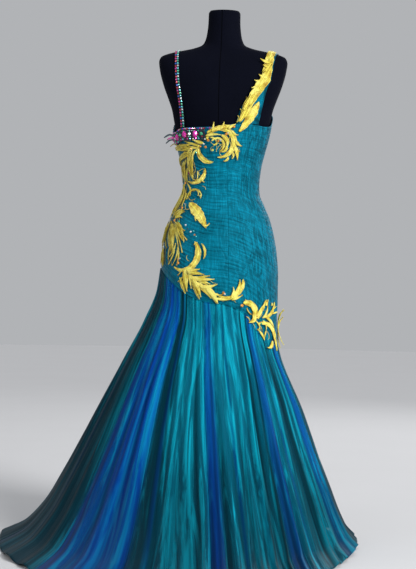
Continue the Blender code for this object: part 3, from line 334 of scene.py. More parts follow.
# Corded tendrils: where each starts, which way it heads (0 right, 90 up), how far it bends.
TENDRILS = named_rows(
    "turn up heading bend length thick",
    (-2.5, 1.1457, -32, -43, 0.0268, 0.0013), (-2.6, 1.1246, 73, -59, 0.0264, 0.0013),
    (-3.6, 1.1176, 79, 14, 0.0186, 0.0013), (10.7, 1.1686, -37, -115, 0.0215, 0.0016),
    (10.4, 1.1518, -23, -125, 0.0325, 0.0016), (8.3, 1.1186, -7, 94, 0.0223, 0.0016),
    (0.5, 1.1177, -88, 80, 0.0201, 0.0016), (-7.0, 1.1326, 176, 145, 0.0200, 0.0012),
    (-10.3, 1.1483, -82, 106, 0.0197, 0.0012), (5.5, 1.1375, -138, 21, 0.0204, 0.0012),
    (-35.2, 1.0617, 177, 152, 0.0278, 0.0013), (-29.2, 1.0645, -138, 112, 0.0177, 0.0013),
    (-19.8, 1.0696, 177, 52, 0.0238, 0.0013), (-47.5, 0.9665, -106, 213, 0.0446, 0.0018),
    (-47.5, 1.0171, -87, 144, 0.0299, 0.0016), (-48.7, 0.9899, -75, 117, 0.0328, 0.0016),
    (-29.6, 0.8217, -121, 115, 0.0222, 0.0014), (43.9, 0.6453, 15, 54, 0.0228, 0.0014),
    (53.3, 0.6680, -8, -165, 0.0243, 0.0013), (42.6, 0.6269, 0, -108, 0.0247, 0.0014),
    (53.5, 0.6104, -1, -166, 0.0374, 0.0016), (36.0, 0.6328, -34, -70, 0.0174, 0.0012),
    (-4.6, 0.7510, -47, 46, 0.0176, 0.0015), (-15.0, 0.7469, 20, -84, 0.0218, 0.0015),
    (11.1, 0.6949, 134, 112, 0.0143, 0.0012), (19.6, 0.6902, 102, 100, 0.0147, 0.0012),
    (13.5, 1.1166, -9, -120, 0.0180, 0.0012), (23.4, 1.1318, -4, -148, 0.0161, 0.0012),
    (-19.4, 1.0089, 88, 99, 0.0184, 0.0014),
)

# Fields of thin stitched strands down the left side: from one level to another, leaning apart.
STRAND_FIELDS = named_rows(
    "turn_from turn_to up_from up_to lean count",
    (-74, -40, 1.128, 1.030, 6.0, 22), (-76, -54, 1.030, 0.945, -4.0, 14),
    (-88, -50, 0.935, 0.845, 9.0, 22), (-82, -54, 0.850, 0.792, 5.0, 14),
)

TENDRIL_STEPS, CORD_STEPS, STRAND_STEPS = 36, 24, 14
STRAND_THICK = (0.0008, 0.0016)
STRAND_LIFT = 0.0012

# Stiffened cords and beaded spikes that stand clear of the cloth, as points in metres.
FREE_CORDS = named_rows(
    "finish thick points",
    ("cord", 0.0042, (
        (0.181, 0.0, 0.557), (0.1735, 0.004, 0.59), (0.1735, 0.004, 0.623),
        (0.177, 0.0, 0.652), (0.191, -0.004, 0.668),
    )),
    ("cord", 0.0036, ((0.1735, 0.008, 0.606), (0.1775, 0.006, 0.631), (0.188, 0.004, 0.648))),
    ("thread", 0.0030, ((-0.118, -0.062, 1.128), (-0.1335, -0.040, 1.141), (-0.147, -0.028, 1.134))),
    ("dark", 0.0060, ((-0.134, -0.034, 1.162), (-0.149, -0.026, 1.168), (-0.166, -0.020, 1.160))),
    ("dark", 0.0050, ((-0.134, -0.034, 1.154), (-0.148, -0.028, 1.152), (-0.160, -0.024, 1.143))),
    ("magenta", 0.0040, ((-0.134, -0.036, 1.158), (-0.146, -0.034, 1.158), (-0.156, -0.030, 1.153))),
)

# Single stones of the appliqué, by colour.
STONE = "turn up radius"
STONES = {
    "amber": named_rows(
        STONE,
        (16.8, 1.1899, 0.0041), (8.2, 1.1685, 0.0041), (-1.1, 1.1485, 0.0034), (-13.2, 1.1505, 0.0045),
        (-17.1, 1.1314, 0.0041), (-23.8, 1.1331, 0.0031), (-38.8, 1.1272, 0.0029),
        (-59.3, 1.0291, 0.0036), (-51.2, 0.9547, 0.0043), (-57.2, 0.9185, 0.0041),
        (-23.3, 0.8782, 0.0029), (-39.7, 0.8076, 0.0025), (-39.1, 0.7986, 0.0043), (7.8, 0.7179, 0.0040),
        (25.9, 0.6825, 0.0050), (42.5, 0.6520, 0.0023), (55.5, 0.6937, 0.0022),
    ),
    "clear": named_rows(
        STONE,
        (10.0, 1.1719, 0.0023), (1.6, 1.1506, 0.0031), (-17.1, 1.1539, 0.0029), (-19.1, 1.1404, 0.0029),
        (-48.6, 0.9659, 0.0022), (-36.5, 0.9053, 0.0031), (-28.3, 0.8865, 0.0031),
        (-37.5, 0.8114, 0.0025), (9.1, 0.7146, 0.0027),
    ),
    "green": named_rows(
        STONE,
        (-31.1, 1.1164, 0.0029), (-47.9, 0.9160, 0.0032), (47.9, 0.6308, 0.0029),
    ),
    "gold_bead": named_rows(
        STONE,
        (-8.2, 1.1231, 0.0038), (-6.2, 1.1383, 0.0027), (-26.5, 0.9902, 0.0031),
    ),
    "magenta": named_rows(
        STONE,
        (-48.6, 1.0579, 0.0025),
    ),
    "dark": named_rows(
        STONE,
        (-32.7, 0.8948, 0.0023),
    ),
    "aqua": named_rows(
        STONE,
        (-25.1, 0.8886, 0.0023), (-21.2, 0.8737, 0.0020),
    ),
}


# Curves and surfaces. Each takes and gives arrays.


def curve(rows, at, column):
    """The value of a column where the first column is `at`, on a smooth curve through the rows."""
    keys = np.array([row[0] for row in rows], float)
    values = np.array([getattr(row, column) for row in rows], float)
    if keys[0] > keys[-1]:
        keys, values = keys[::-1], values[::-1]
    steps = np.diff(keys)
    chords = np.diff(values) / steps
    slopes = np.zeros_like(values)
    slopes[0], slopes[-1] = chords[0], chords[-1]
    before, after = chords[:-1], chords[1:]
    same_way = before * after > 0
    total = np.where(same_way, before + after, 1.0)
    slopes[1:-1] = np.where(same_way, 2 * before * after / total, 0.0)
    at = np.clip(at, keys[0], keys[-1])
    i = np.clip(np.searchsorted(keys, at, side="right") - 1, 0, len(steps) - 1)
    t = (at - keys[i]) / steps[i]
    return (
        values[i] * (1 + 2 * t) * (1 - t) ** 2
        + values[i + 1] * t * t * (3 - 2 * t)
        + steps[i] * t * (1 - t) * (slopes[i] * (1 - t) - slopes[i + 1] * t)
    )


def eased(low, high, at):
    """0 below low, 1 above high, and a smooth rise between them."""
    t = np.clip((at - low) / (high - low), 0.0, 1.0)
    return t * t * (3 - 2 * t)


def mixed(a, b, share):
    return a + (b - a) * share


def wrapped(turn):
    return (turn + 180.0) % 360.0 - 180.0


def unit(vectors):
    return vectors / np.maximum(np.linalg.norm(vectors, axis=-1, keepdims=True), 1e-9)


def stacked(x, y, z):
    return np.stack(np.broadcast_arrays(x, y, z), axis=-1)


def wander(turn, along, seed, rounds, rate, waves=6):
    """A soft uneven field between about -1 and 1 that closes on itself round the body."""
    rng = np.random.default_rng(seed)
    total = np.zeros(np.broadcast(turn, along).shape)
    for _ in range(waves):
        times = rng.integers(1, rounds + 1)
        climb = rng.uniform(-rate, rate)
        total = total + np.sin(np.radians(turn) * times + along * climb + rng.uniform(0, 2 * np.pi))
    return total / waves * 1.6


def bust_fullness(turn, up):
    off = np.abs(np.abs(wrapped(turn)) - (180.0 - BUST_TURN)) / BUST_WIDE
    high = (up - BUST_UP) / BUST_TALL
    return BUST_OUT * np.exp(-off * off - high * high)


def body_point(turn, up, inward=0.0):
    angle = np.radians(turn)
    side = curve(SHEATH, up, "side") - inward
    depth = np.where(np.cos(angle) > 0, curve(SHEATH, up, "back"), curve(SHEATH, up, "front")) - inward
    point = stacked(side * np.sin(angle), -depth * np.cos(angle), up)
    radial = point * (1.0, 1.0, 0.0)
    return point + unit(radial) * bust_fullness(turn, up)[..., None]


def normal_of(surface, turn, along, by_along=0.001):
    across = surface(turn + 0.05, along) - surface(turn - 0.05, along)
    down = surface(turn, along - by_along) - surface(turn, along + by_along)
    return unit(np.cross(down, across))


def sheath_point(turn, up, out):
    return body_point(turn, up) + normal_of(body_point, turn, up) * np.asarray(out)[..., None]


def top_edge(turn):
    return curve(TOP_EDGE, wrapped(turn), "up")


def seam_curve(turn):
    angle = np.radians(turn)
    side = np.where(np.sin(angle) > 0, SEAM_RIGHT, SEAM_LEFT)
    depth = np.where(np.cos(angle) > 0, SEAM_BACK, SEAM_FRONT)
    return side * np.sin(angle) ** 2 + depth * np.cos(angle) ** 2


def ruche_cover(turn, up):
    """Height of the ruched folds' crests above the smooth face."""
    from_top = eased(0.0, RUCHE_FADE, top_edge(turn) - up)
    from_seam = eased(0.0, RUCHE_FADE, up - seam_curve(turn))
    return RUCHE_HEIGHT * (0.12 + 0.88 * from_top * from_seam)


def flare_values(share, chosen, one, other):
    """How far out and how high the skirt lies, on one side where chosen and on the other elsewhere."""
    for kind in ("out", "up"):
        yield np.where(chosen, curve(FLARE, share, f"{one}_{kind}"), curve(FLARE, share, f"{other}_{kind}"))


def flare_point(turn, share):
    angle = np.radians(turn)
    across, along = np.sin(angle), np.cos(angle)
    out_side, up_side = flare_values(share, across > 0, "right", "left")
    out_depth, up_depth = flare_values(share, along > 0, "back", "front")
    return stacked(out_side * across, -out_depth * along, up_side * across**2 + up_depth * along**2)


def flare_normal(turn, share):
    across = flare_point(turn + 0.05, share) - flare_point(turn - 0.05, share)
    low, high = np.maximum(share - 0.002, 0.0), np.minimum(share + 0.002, 1.0)
    normal = unit(np.cross(flare_point(turn, high) - flare_point(turn, low), across))
    normal[..., 2] = np.maximum(normal[..., 2], 0.0)
    return unit(normal)


def fold_height(share, depth, late):
    grown = FOLD_TOP + (FOLD_HEM - FOLD_TOP) * share**0.85
    begun = mixed(0.4 * FOLD_TOP, grown, eased(0.04, FOLD_LATE, share))
    return depth * np.where(late, begun, grown)


def net_cover(turn, up):
    low, high = np.zeros_like(turn), np.full_like(turn, 0.6)
    for _ in range(22):
        middle = (low + high) / 2
        above = flare_point(turn, middle)[..., 2] > up
        low, high = np.where(above, middle, low), np.where(above, high, middle)
    normal = flare_normal(turn, low)
    crest = FOLD_DEPTHS.max() * fold_height(low, 1.0, False)
    return flare_point(turn, low) + normal * crest[..., None], normal


def cover_point(turn, up, out):
    """Points `out` above whatever cloth lies at each place: bodice, skirt top or right strap."""
    turn, up = np.asarray(turn, float), np.asarray(up, float)
    out = np.broadcast_to(np.asarray(out, float), turn.shape)
    seam, edge = seam_curve(turn), top_edge(turn)
    bodice = sheath_point(turn, up, ruche_cover(turn, up) + out)
    level = np.minimum(up, seam)
    net, normal = net_cover(turn, level)
    net[..., 2] = np.where(up < seam, level, up)
    share = eased(-0.014, -0.001, seam - up)[..., None]
    points = mixed(bodice, net + normal * out[..., None], share)
    for place in np.argwhere(up > edge + 0.002):
        at = tuple(place)
        points[at] = over_strap(bodice[at], out[at])
    return points


# Meshes


def tree_of(name):
    mesh = NODES[name].data
    return BVHTree.FromPolygons([v.co for v in mesh.vertices], [p.vertices for p in mesh.polygons])


STRAP_TREES = {name: tree_of(name) for name in NODES if name.startswith("strap_")}


def over_strap(point, out):
    """The point moved to lie `out` above the right strap's back."""
    tree = STRAP_TREES["strap_right_back"]
    start = Vector((point[0], -0.30, point[2]))
    hit = tree.ray_cast(start, Vector((0.0, 1.0, 0.0)))[0]
    if hit is None:
        near = tree.find_nearest(Vector(point))[0]
        hit = Vector((point[0], near.y, point[2]))
    return np.array(hit + Vector((0.0, -1.0, 0.0)) * (out + STRAP_GAP))


def linked(name, mesh, finish, body="root"):
    mesh.materials.append(finish)
    obj = bpy.data.objects.new(name, mesh)
    bpy.context.scene.collection.objects.link(obj)
    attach(obj, body)
    return obj


def grid_mesh(name, columns, rows, place):
    """A grid whose points `place(u, v)` puts in space, with UVs in metres of cloth.

    `place` gives the points and marks for each one, kept as the attributes "fold", "blue" and "light" in that
    order. The finishes paint shade into the hollows from "fold", and paint light and shade from "light".
    """
    built = bmesh.new()
    built.loops.layers.uv.new("UVMap")
    bmesh.ops.create_grid(built, x_segments=columns, y_segments=rows, size=0.5, calc_uvs=True)
    mesh = bpy.data.meshes.new(name)
    built.to_mesh(mesh)
    built.free()
    flat = np.empty(len(mesh.vertices) * 3)
    mesh.vertices.foreach_get("co", flat)
    flat = flat.reshape(-1, 3)
    u, v = flat[:, 0] + 0.5, flat[:, 1] + 0.5
    points, *marks = place(u, v)
    mesh.vertices.foreach_set("co", points.astype(np.float32).ravel())
    for key, mark in zip(("fold", "blue", "light"), marks):
        attribute = mesh.attributes.new(key, "FLOAT", "POINT")
        attribute.data.foreach_set("value", np.asarray(mark, np.float32))
    width, length = grid_size(points, columns, rows)
    uvs = np.empty(len(mesh.loops) * 2)
    mesh.uv_layers["UVMap"].data.foreach_get("uv", uvs)
    uvs = uvs.reshape(-1, 2) * (width, length)
    mesh.uv_layers["UVMap"].data.foreach_set("uv", uvs.ravel())
    mesh.shade_smooth()
    mesh.update()
    return mesh


def grid_size(points, columns, rows):
    """The longest row and the longest column of a grid's points."""
    table = points.reshape(rows + 1, columns + 1, 3)
    across = np.linalg.norm(np.diff(table, axis=1), axis=2).sum(axis=1)
    along = np.linalg.norm(np.diff(table, axis=0), axis=2).sum(axis=0)
    return float(across.max()), float(along.max())


def mesh_area(mesh):
    areas = np.empty(len(mesh.polygons))
    mesh.polygons.foreach_get("area", areas)
    return float(areas.sum())


def cloth_piece(name, columns, rows, place, thickness, finish, slot, nodes, held, rests_on):
    """A sheet of cloth made of a grid, and given its thickness inwards."""
    mesh = grid_mesh(name, columns, rows, place)
    points = np.empty(len(mesh.vertices) * 3)
    mesh.vertices.foreach_get("co", points)
    flat = grid_size(points.reshape(-1, 3), columns, rows)
    piece = linked(name, mesh, finish)
    wall = piece.modifiers.new("thickness", "SOLIDIFY")
    wall.thickness = thickness
    wall.offset = -1.0
    wall.use_even_offset = False
    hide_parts(*nodes)
    min(mesh_area(mesh), flat[0] * flat[1])
    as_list(rests_on)


# Finishes


def times(colour, factor):
    return tuple(min(c * factor, 1.0) for c in colour)


class Finish:
    """A material, with short names for the nodes that it is made of."""

    def __init__(self, name, **sockets):
        self.material = bpy.data.materials.new(name)
        self.material.use_nodes = True
        self.tree = self.material.node_tree
        self.shader = self.tree.nodes["Principled BSDF"]
        for key, value in sockets.items():
            self.shader.inputs[key.replace("_", " ")].default_value = value

    def set(self, sockets, key, value):
        """A socket linked to another, or given a constant."""
        if isinstance(value, bpy.types.NodeSocket):
            self.tree.links.new(value, sockets[key])
        else:
            sockets[key].default_value = value

    def node(self, kind, inputs, output=0, **settings):
        """The output of a new node with its settings, and its inputs set or linked."""
        node = self.tree.nodes.new(kind)
        for key, value in settings.items():
            setattr(node, key, value)
        for key, value in inputs.items():
            self.set(node.inputs, key, value)
        return node.outputs[output]

    def link(self, **sockets):
        """Sockets linked to the shader's inputs of these names."""
        for key, socket in sockets.items():
            self.tree.links.new(socket, self.shader.inputs[key.replace("_", " ")])

    def coordinates(self, kind):
        return self.node("ShaderNodeTexCoord", {}, kind)

    def mark(self, name):
        """A mark kept with each point of the cloth."""
        return self.node("ShaderNodeAttribute", {}, "Fac", attribute_name=name)

    def maths(self, operation, first, second=0.0):
        return self.node("ShaderNodeMath", {0: first, 1: second}, operation=operation)

    def product(self, first, second):
        return self.maths("MULTIPLY", first, second)

    def plus(self, first, second):
        return self.maths("ADD", first, second)

    def less(self, first, second):
        return self.maths("SUBTRACT", first, second)

    def size(self, value):
        return self.maths("ABSOLUTE", value)

    def blend(self, share, first, second):
        """One colour where the share is 0 and another where it is 1."""
        colours = [c if isinstance(c, bpy.types.NodeSocket) else (*c, 1.0) for c in (first, second)]
        inputs = {0: share, 6: colours[0], 7: colours[1]}
        return self.node("ShaderNodeMix", inputs, 2, data_type="RGBA", blend_type="MIX")

    def ramp(self, value, *stops):
        """A colour ramp of (place, grey) stops."""
        output = self.node("ShaderNodeValToRGB", {"Fac": value}, "Color")
        elements = output.node.color_ramp.elements
        for k, (place, grey) in enumerate(stops):
            element = elements[k] if k < 2 else elements.new(place)
            element.position = place
            element.color = (grey, grey, grey, 1.0)
        return output

    def stretched(self, source, scale, turn=0.0):
        """Coordinates scaled differently along each axis."""
        inputs = {"Vector": source, "Scale": scale, "Rotation": (0.0, 0.0, turn)}
        return self.node("ShaderNodeMapping", inputs)

    def noise(self, source, scale, detail=3.0, roughness=0.5, distortion=0.0):
        inputs = {"Vector": source, "Scale": scale, "Detail": detail}
        inputs.update({"Roughness": roughness, "Distortion": distortion})
        return self.node("ShaderNodeTexNoise", inputs, "Fac")

    def threads(self, source, scale, direction, distortion=0.0):
        inputs = {"Vector": source, "Scale": scale, "Distortion": distortion, "Detail": 1.0}
        return self.node("ShaderNodeTexWave", inputs, "Fac", bands_direction=direction)

    def bumped(self, height, strength, distance, under=None):
        inputs = {"Height": height, "Strength": strength, "Distance": distance}
        if under is not None:
            inputs["Normal"] = under
        return self.node("ShaderNodeBump", inputs, "Normal")


CYAN_SHINE = (0.10, 0.75, 1.00, 1.0)


def bodice_finish(colours):
    paint = Finish("ruched_chiffon", Roughness=0.42, Specular_IOR_Level=0.16, Specular_Tint=CYAN_SHINE)
    uv = paint.coordinates("UV")
    base = colours.bodice
    # Painted shade from the "fold" mark: darker in the ruche's valleys and between its crush lines, lighter
    # on the crests.
    depth = paint.ramp(paint.mark("fold"), (0.05, 0.0), (0.75, 1.0))
    tone = paint.blend(depth, times(base, 0.24), times(base, 1.15))
    right = paint.mark("light")
    cloudy = paint.noise(paint.stretched(uv, (9.0, 16.0, 1.0)), 1.0, 3.0)
    streaks = paint.noise(paint.stretched(uv, (14.0, 330.0, 1.0)), 1.0, 3.0, 0.5, 0.5)
    crumple = paint.noise(paint.stretched(uv, (52.0, 12.0, 1.0), 0.25), 1.0, 3.0, 0.6, 0.5)
    crumple = paint.size(paint.less(crumple, 0.5))
    # Painted highlights in soft patches.
    tone = paint.blend(paint.ramp(cloudy, (0.44, 0.0), (0.70, 0.80)), tone, times(base, 2.1))
    crushed = paint.plus(paint.product(right, 0.70), 0.30)
    # Painted shade in the crumpled creases and painted highlights on their crests, strongest on the crushed
    # right side.
    painted_crease_shade = paint.product(paint.ramp(crumple, (0.0, 0.42), (0.050, 0.0)), crushed)
    crests = paint.product(paint.ramp(crumple, (0.04, 0.0), (0.10, 0.95), (0.22, 0.0)), crushed)
    tone = paint.blend(painted_crease_shade, tone, times(base, 0.34))
    tone = paint.blend(crests, tone, times(base, 2.4))
    # Painted shade along fine creases across the cloth.
    tone = paint.blend(paint.ramp(streaks, (0.36, 0.55), (0.56, 0.0)), tone, times(base, 0.38))
    tone = paint.blend(paint.product(right, 0.26), tone, times(base, 0.10))
    paint.link(Base_Color=tone)
    crinkle = paint.noise(paint.stretched(uv, (55.0, 420.0, 1.0)), 1.0, 3.0, 0.55, 1.2)
    crush = paint.noise(paint.stretched(uv, (260.0, 60.0, 1.0)), 1.0, 2.0, 0.5, 0.8)
    weft = paint.threads(uv, 520.0, "X")
    warp = paint.threads(uv, 520.0, "Y")
    folds = paint.plus(crinkle, paint.product(crush, 0.5))
    folds = paint.plus(folds, paint.product(crumple, 6.0))
    creased = paint.bumped(folds, 0.6, 0.0016)
    weave = paint.product(weft, warp)
    paint.link(Normal=paint.bumped(weave, 0.18, 0.0003, creased))
    return paint.material


def net_finish(colours, opacity):
    """Sheer net: teal and blue gores, gathered streaks, and thin places where the lining shows, with painted
    light and shade, painted shade in the fold valleys and painted glints.
    """
    paint = Finish("sheer_net", Roughness=0.50, Specular_IOR_Level=0.15, Specular_Tint=CYAN_SHINE)
    uv = paint.coordinates("UV")
    depth = paint.ramp(paint.mark("fold"), (0.0, 0.0), (0.8, 1.0))
    light = paint.mark("light")
    gathers = paint.noise(paint.stretched(uv, (80.0, 1.6, 1.0)), 1.0, 3.0, 0.55)
    light = paint.plus(paint.product(light, 0.8), paint.product(gathers, 0.35))
    light = paint.ramp(light, (0.18, 0.0), (0.85, 1.0))
    # Painted light and shade, together with the lining showing through the thin net: dark where "light" is
    # low, bright where it is high.
    teal = paint.blend(light, times(colours.net_teal, 0.20), times(colours.net_teal, 1.9))
    blue = paint.blend(light, times(colours.net_blue, 0.20), times(colours.net_blue, 2.1))
    tone = paint.blend(paint.mark("blue"), teal, blue)
    # Painted shade in the fold valleys.
    tone = paint.blend(depth, paint.blend(0.28, tone, (0.0, 0.010, 0.022)), tone)
    # Painted glints: bright cyan specks in the lit places, fewer on the blue net.
    crinkled = paint.noise(paint.stretched(uv, (30.0, 2.6, 1.0)), 1.0, 4.0, 0.6, 0.9)
    glints = paint.product(paint.ramp(crinkled, (0.47, 0.0), (0.62, 1.0)), light)
    glints = paint.product(glints, paint.less(1.0, paint.product(paint.mark("blue"), 0.65)))
    tone = paint.blend(glints, tone, (0.005, 0.52, 0.70))
    paint.link(Base_Color=tone)
    crossed = paint.stretched(uv, (1.0, 1.0, 1.0), 0.785)
    holes = paint.product(paint.threads(crossed, 420.0, "X"), paint.threads(crossed, 420.0, "Y"))
    veil = paint.less(opacity + 0.40, paint.product(light, 0.62))
    veil = paint.plus(veil, paint.product(paint.mark("blue"), 0.16))
    veil = paint.less(veil, paint.product(holes, 0.12))
    paint.link(Alpha=veil)
    pulled = paint.noise(paint.stretched(uv, (70.0, 5.0, 1.0)), 1.0, 4.0, 0.6, 0.4)
    paint.link(Normal=paint.bumped(pulled, 0.6, 0.003))
    return paint.material


def lining_finish(colours):
    paint = Finish("crinkled_taffeta", Roughness=0.36, Specular_IOR_Level=0.50, Specular_Tint=CYAN_SHINE)
    uv = paint.coordinates("UV")
    base = colours.lining
    # Painted shade in the lining's fold valleys, lighter on the crests.
    depth = paint.ramp(paint.mark("fold"), (0.0, 0.0), (0.9, 1.0))
    tone = paint.blend(depth, times(base, 0.45), times(base, 1.25))
    patches = paint.noise(paint.stretched(uv, (16.0, 6.0, 1.0)), 1.0, 4.0)
    tone = paint.blend(paint.ramp(patches, (0.45, 0.0), (0.65, 0.5)), tone, times(base, 1.7))
    paint.link(Base_Color=tone)
    crinkle = paint.noise(paint.stretched(uv, (90.0, 22.0, 1.0)), 1.0, 5.0, 0.65, 1.6)
    ribs = paint.threads(uv, 420.0, "Y")
    creased = paint.bumped(crinkle, 0.8, 0.004)
    paint.link(Normal=paint.bumped(ribs, 0.15, 0.0003, creased))
    return paint.material


def gold_finish(name, base, stitch_scale):
    """Metallic embroidery: satin stitches across each leaf, with painted highlights on the raised crests and
    painted brown shade in the low parts.
    """
    paint = Finish(name, Metallic=0.10, Roughness=0.45, Specular_Tint=(1.0, 0.80, 0.30, 1.0))
    uv = paint.coordinates("UV")
    place = paint.coordinates("Object")
    # Painted shade, brown, in the low parts of the raised work, and painted highlights on the raised crests.
    depth = paint.ramp(paint.mark("fold"), (0.10, 0.0), (0.80, 1.0))
    shade = (base[0] * 0.40, base[1] * 0.24, base[2] * 0.20)
    tone = paint.blend(depth, shade, times(base, 1.25))
    grain = paint.noise(place, 900.0, 2.0)
    # Painted highlights in pale cream patches.
    painted_highlight_patches = paint.noise(place, 45.0, 2.0)
    tone = paint.blend(paint.ramp(grain, (0.40, 0.4), (0.58, 0.0)), tone, (0.42, 0.22, 0.03))
    tone = paint.blend(paint.ramp(painted_highlight_patches, (0.42, 0.0), (0.64, 0.7)), tone, (1.00, 0.92, 0.24))
    paint.link(Base_Color=tone)
    stitches = paint.threads(paint.stretched(uv, (1.0, 1.0, 1.0), 0.6), stitch_scale, "Y", 1.5)
    raised = paint.plus(stitches, paint.product(grain, 0.8))
    paint.link(Normal=paint.bumped(raised, 0.6, 0.0007))
    rough = paint.plus(paint.product(grain, 0.25), 0.28)
    paint.link(Roughness=rough)
    return paint.material


def glass_finish(name, base):
    """Foil-backed glass stone, with painted reflections."""
    paint = Finish(name, Metallic=0.35, Roughness=0.07, Coat_Weight=0.8, Coat_Roughness=0.03)
    place = paint.coordinates("Object")
    # Painted reflections: brighter and darker specks over the stone.
    painted_reflections = paint.noise(place, 420.0, 1.0)
    tone = paint.blend(paint.ramp(painted_reflections, (0.40, 0.0), (0.62, 1.0)), times(base, 0.45), times(base, 1.6))
    paint.link(Base_Color=tone)
    return paint.material


def band_finish():
    paint = Finish("beaded_ground", Roughness=0.50, Specular_IOR_Level=0.2)
    place = paint.coordinates("Object")
    beads = paint.node("ShaderNodeTexVoronoi", {"Vector": place, "Scale": 420.0}, "Distance")
    patches = paint.noise(place, 90.0, 2.0)
    between_beads = paint.ramp(beads, (0.1, 0.0), (0.6, 1.0))
    tone = paint.blend(between_beads, (0.025, 0.055, 0.070), (0.002, 0.005, 0.008))
    tone = paint.blend(paint.ramp(patches, (0.55, 0.0), (0.65, 0.6)), tone, (0.05, 0.008, 0.035))
    paint.link(Base_Color=tone)
    paint.link(Normal=paint.bumped(beads, -0.8, 0.0012))
    return paint.material


def form_finish(colours):
    sheen = {"Sheen_Weight": 0.02, "Sheen_Roughness": 0.5, "Sheen_Tint": (0.30, 0.33, 0.50, 1.0)}
    paint = Finish("form_jersey", Roughness=0.85, Specular_IOR_Level=0.03, **sheen)
    place = paint.coordinates("Object")
    base = colours.form
    cloudy = paint.noise(place, 14.0, 3.0)
    fuzz = paint.noise(place, 600.0, 2.0)
    tone = paint.blend(cloudy, times(base, 0.75), times(base, 1.25))
    tone = paint.blend(paint.ramp(fuzz, (0.45, 0.0), (0.75, 0.35)), tone, times(base, 2.2))
    across = paint.node("ShaderNodeSeparateXYZ", {"Vector": place}, "X")
    off_seam = paint.size(paint.plus(across, 0.004))
    seam = paint.ramp(paint.product(off_seam, 100.0), (0.06, 0.0), (0.22, 1.0))
    tone = paint.blend(seam, times(base, 0.35), tone)
    paint.link(Base_Color=tone)
    knit = paint.threads(place, 260.0, "X", 0.6)
    knit = paint.product(knit, paint.threads(place, 220.0, "Z", 0.6))
    knitted = paint.bumped(knit, 0.25, 0.0005)
    paint.link(Normal=paint.bumped(seam, 0.7, 0.0015, knitted))
    return paint.material


def metal_finish():
    paint = Finish("satin_black_paint", Metallic=0.0, Coat_Weight=0.3, Coat_Roughness=0.25)
    place = paint.coordinates("Object")
    mottle = paint.noise(place, 35.0, 4.0)
    grit = paint.noise(place, 700.0, 2.0)
    tone = paint.blend(mottle, (0.012, 0.012, 0.013), (0.028, 0.028, 0.031))
    paint.link(Base_Color=tone)
    paint.link(Roughness=paint.plus(paint.product(mottle, 0.25), 0.25))
    paint.link(Normal=paint.bumped(grit, 0.15, 0.0003))
    return paint.material


def floor_finish(base):
    paint = Finish("studio_floor", Roughness=0.75)
    place = paint.coordinates("Object")
    mottle = paint.noise(place, 3.0, 4.0)
    tone = paint.blend(mottle, times(base, 0.97), times(base, 1.02))
    paint.link(Base_Color=tone)
    return paint.material


def cord_finish(name, base):
    """Twisted metal cord."""
    paint = Finish(name, Metallic=0.3, Roughness=0.40)
    place = paint.coordinates("Object")
    twist = paint.threads(paint.stretched(place, (1.0, 1.0, 1.0), 0.5), 900.0, "DIAGONAL", 0.5)
    grain = paint.noise(place, 700.0, 2.0)
    tone = paint.blend(twist, times(base, 0.45), times(base, 1.1))
    tone = paint.blend(paint.ramp(grain, (0.40, 0.5), (0.60, 0.0)), tone, (0.32, 0.16, 0.03))
    paint.link(Base_Color=tone)
    paint.link(Normal=paint.bumped(twist, 0.5, 0.0004))
    return paint.material


# Pieces


def ruche_relief(turn, share, folds, crush_width):
    """The ruched cloth's height and brightness: long folds that wander, crossed by crush lines. The
    brightness is painted shade, darker in the fold valleys and between the crush lines.
    """
    sway = 0.9 * wander(turn, share, 11, 3, 9.0) + 0.30 * wander(turn, share, 12, 9, 30.0)
    ridge = np.abs(np.sin(np.pi * (folds * share + sway))) ** 0.7
    strong = np.clip(0.72 + 0.62 * wander(turn, share, 13, 7, 70.0), 0.10, 1.0)
    fine_sway = wander(turn, share, 14, 6, 22.0)
    fine = np.abs(np.sin(np.pi * (folds * 2.3 * share + 1.3 * fine_sway))) ** 0.8
    fine = fine * np.clip(0.5 + 0.7 * wander(turn, share, 17, 9, 30.0), 0.0, 1.0)
    right = eased(14, 50, wrapped(turn)) * (1 - eased(112, 150, wrapped(turn)))
    lean = 9.0 * wander(turn, share, 15, 5, 7.0) + 3.5 * wander(turn, share, 18, 16, 24.0)
    crush = np.abs(np.sin(np.pi * (turn + lean) / crush_width)) ** 0.7
    crossing = np.clip(0.40 + 1.05 * wander(turn, share, 16, 13, 16.0), 0.0, 1.0)
    level = mixed(0.70 * ridge * strong + 0.28 * fine, 0.34 * ridge * strong + 0.16 * fine, right)
    level = level + crush * crossing * mixed(0.06, 0.62, right)
    # Painted shade: darker in the fold valleys, and between the crush lines on the right.
    tone = (1 - strong * (1 - ridge)) * (1 - 0.65 * right * crossing * (1 - crush))
    return np.clip(level, 0.0, 1.0), tone


def bodice_place(panel, settings):
    def place(u, v):
        turn = mixed(panel.start, panel.end, u)
        edge, seam = top_edge(turn), seam_curve(turn)
        up = mixed(seam, edge, v)
        relief, tone = ruche_relief(turn, 1 - v, settings.ruche_folds, settings.crush_width)
        reach = 0.0024 * np.minimum(turn - panel.start, panel.end - turn)
        relief = relief * mixed(0.70, 1.0, eased(0.0, 0.008, reach))
        right = eased(10, 55, wrapped(turn)) * (1 - eased(112, 150, wrapped(turn)))
        # The tone, which is painted shade, is kept as the "fold" mark.
        return sheath_point(turn, up, relief * ruche_cover(turn, up)), tone, np.zeros(len(u)), right

    return place


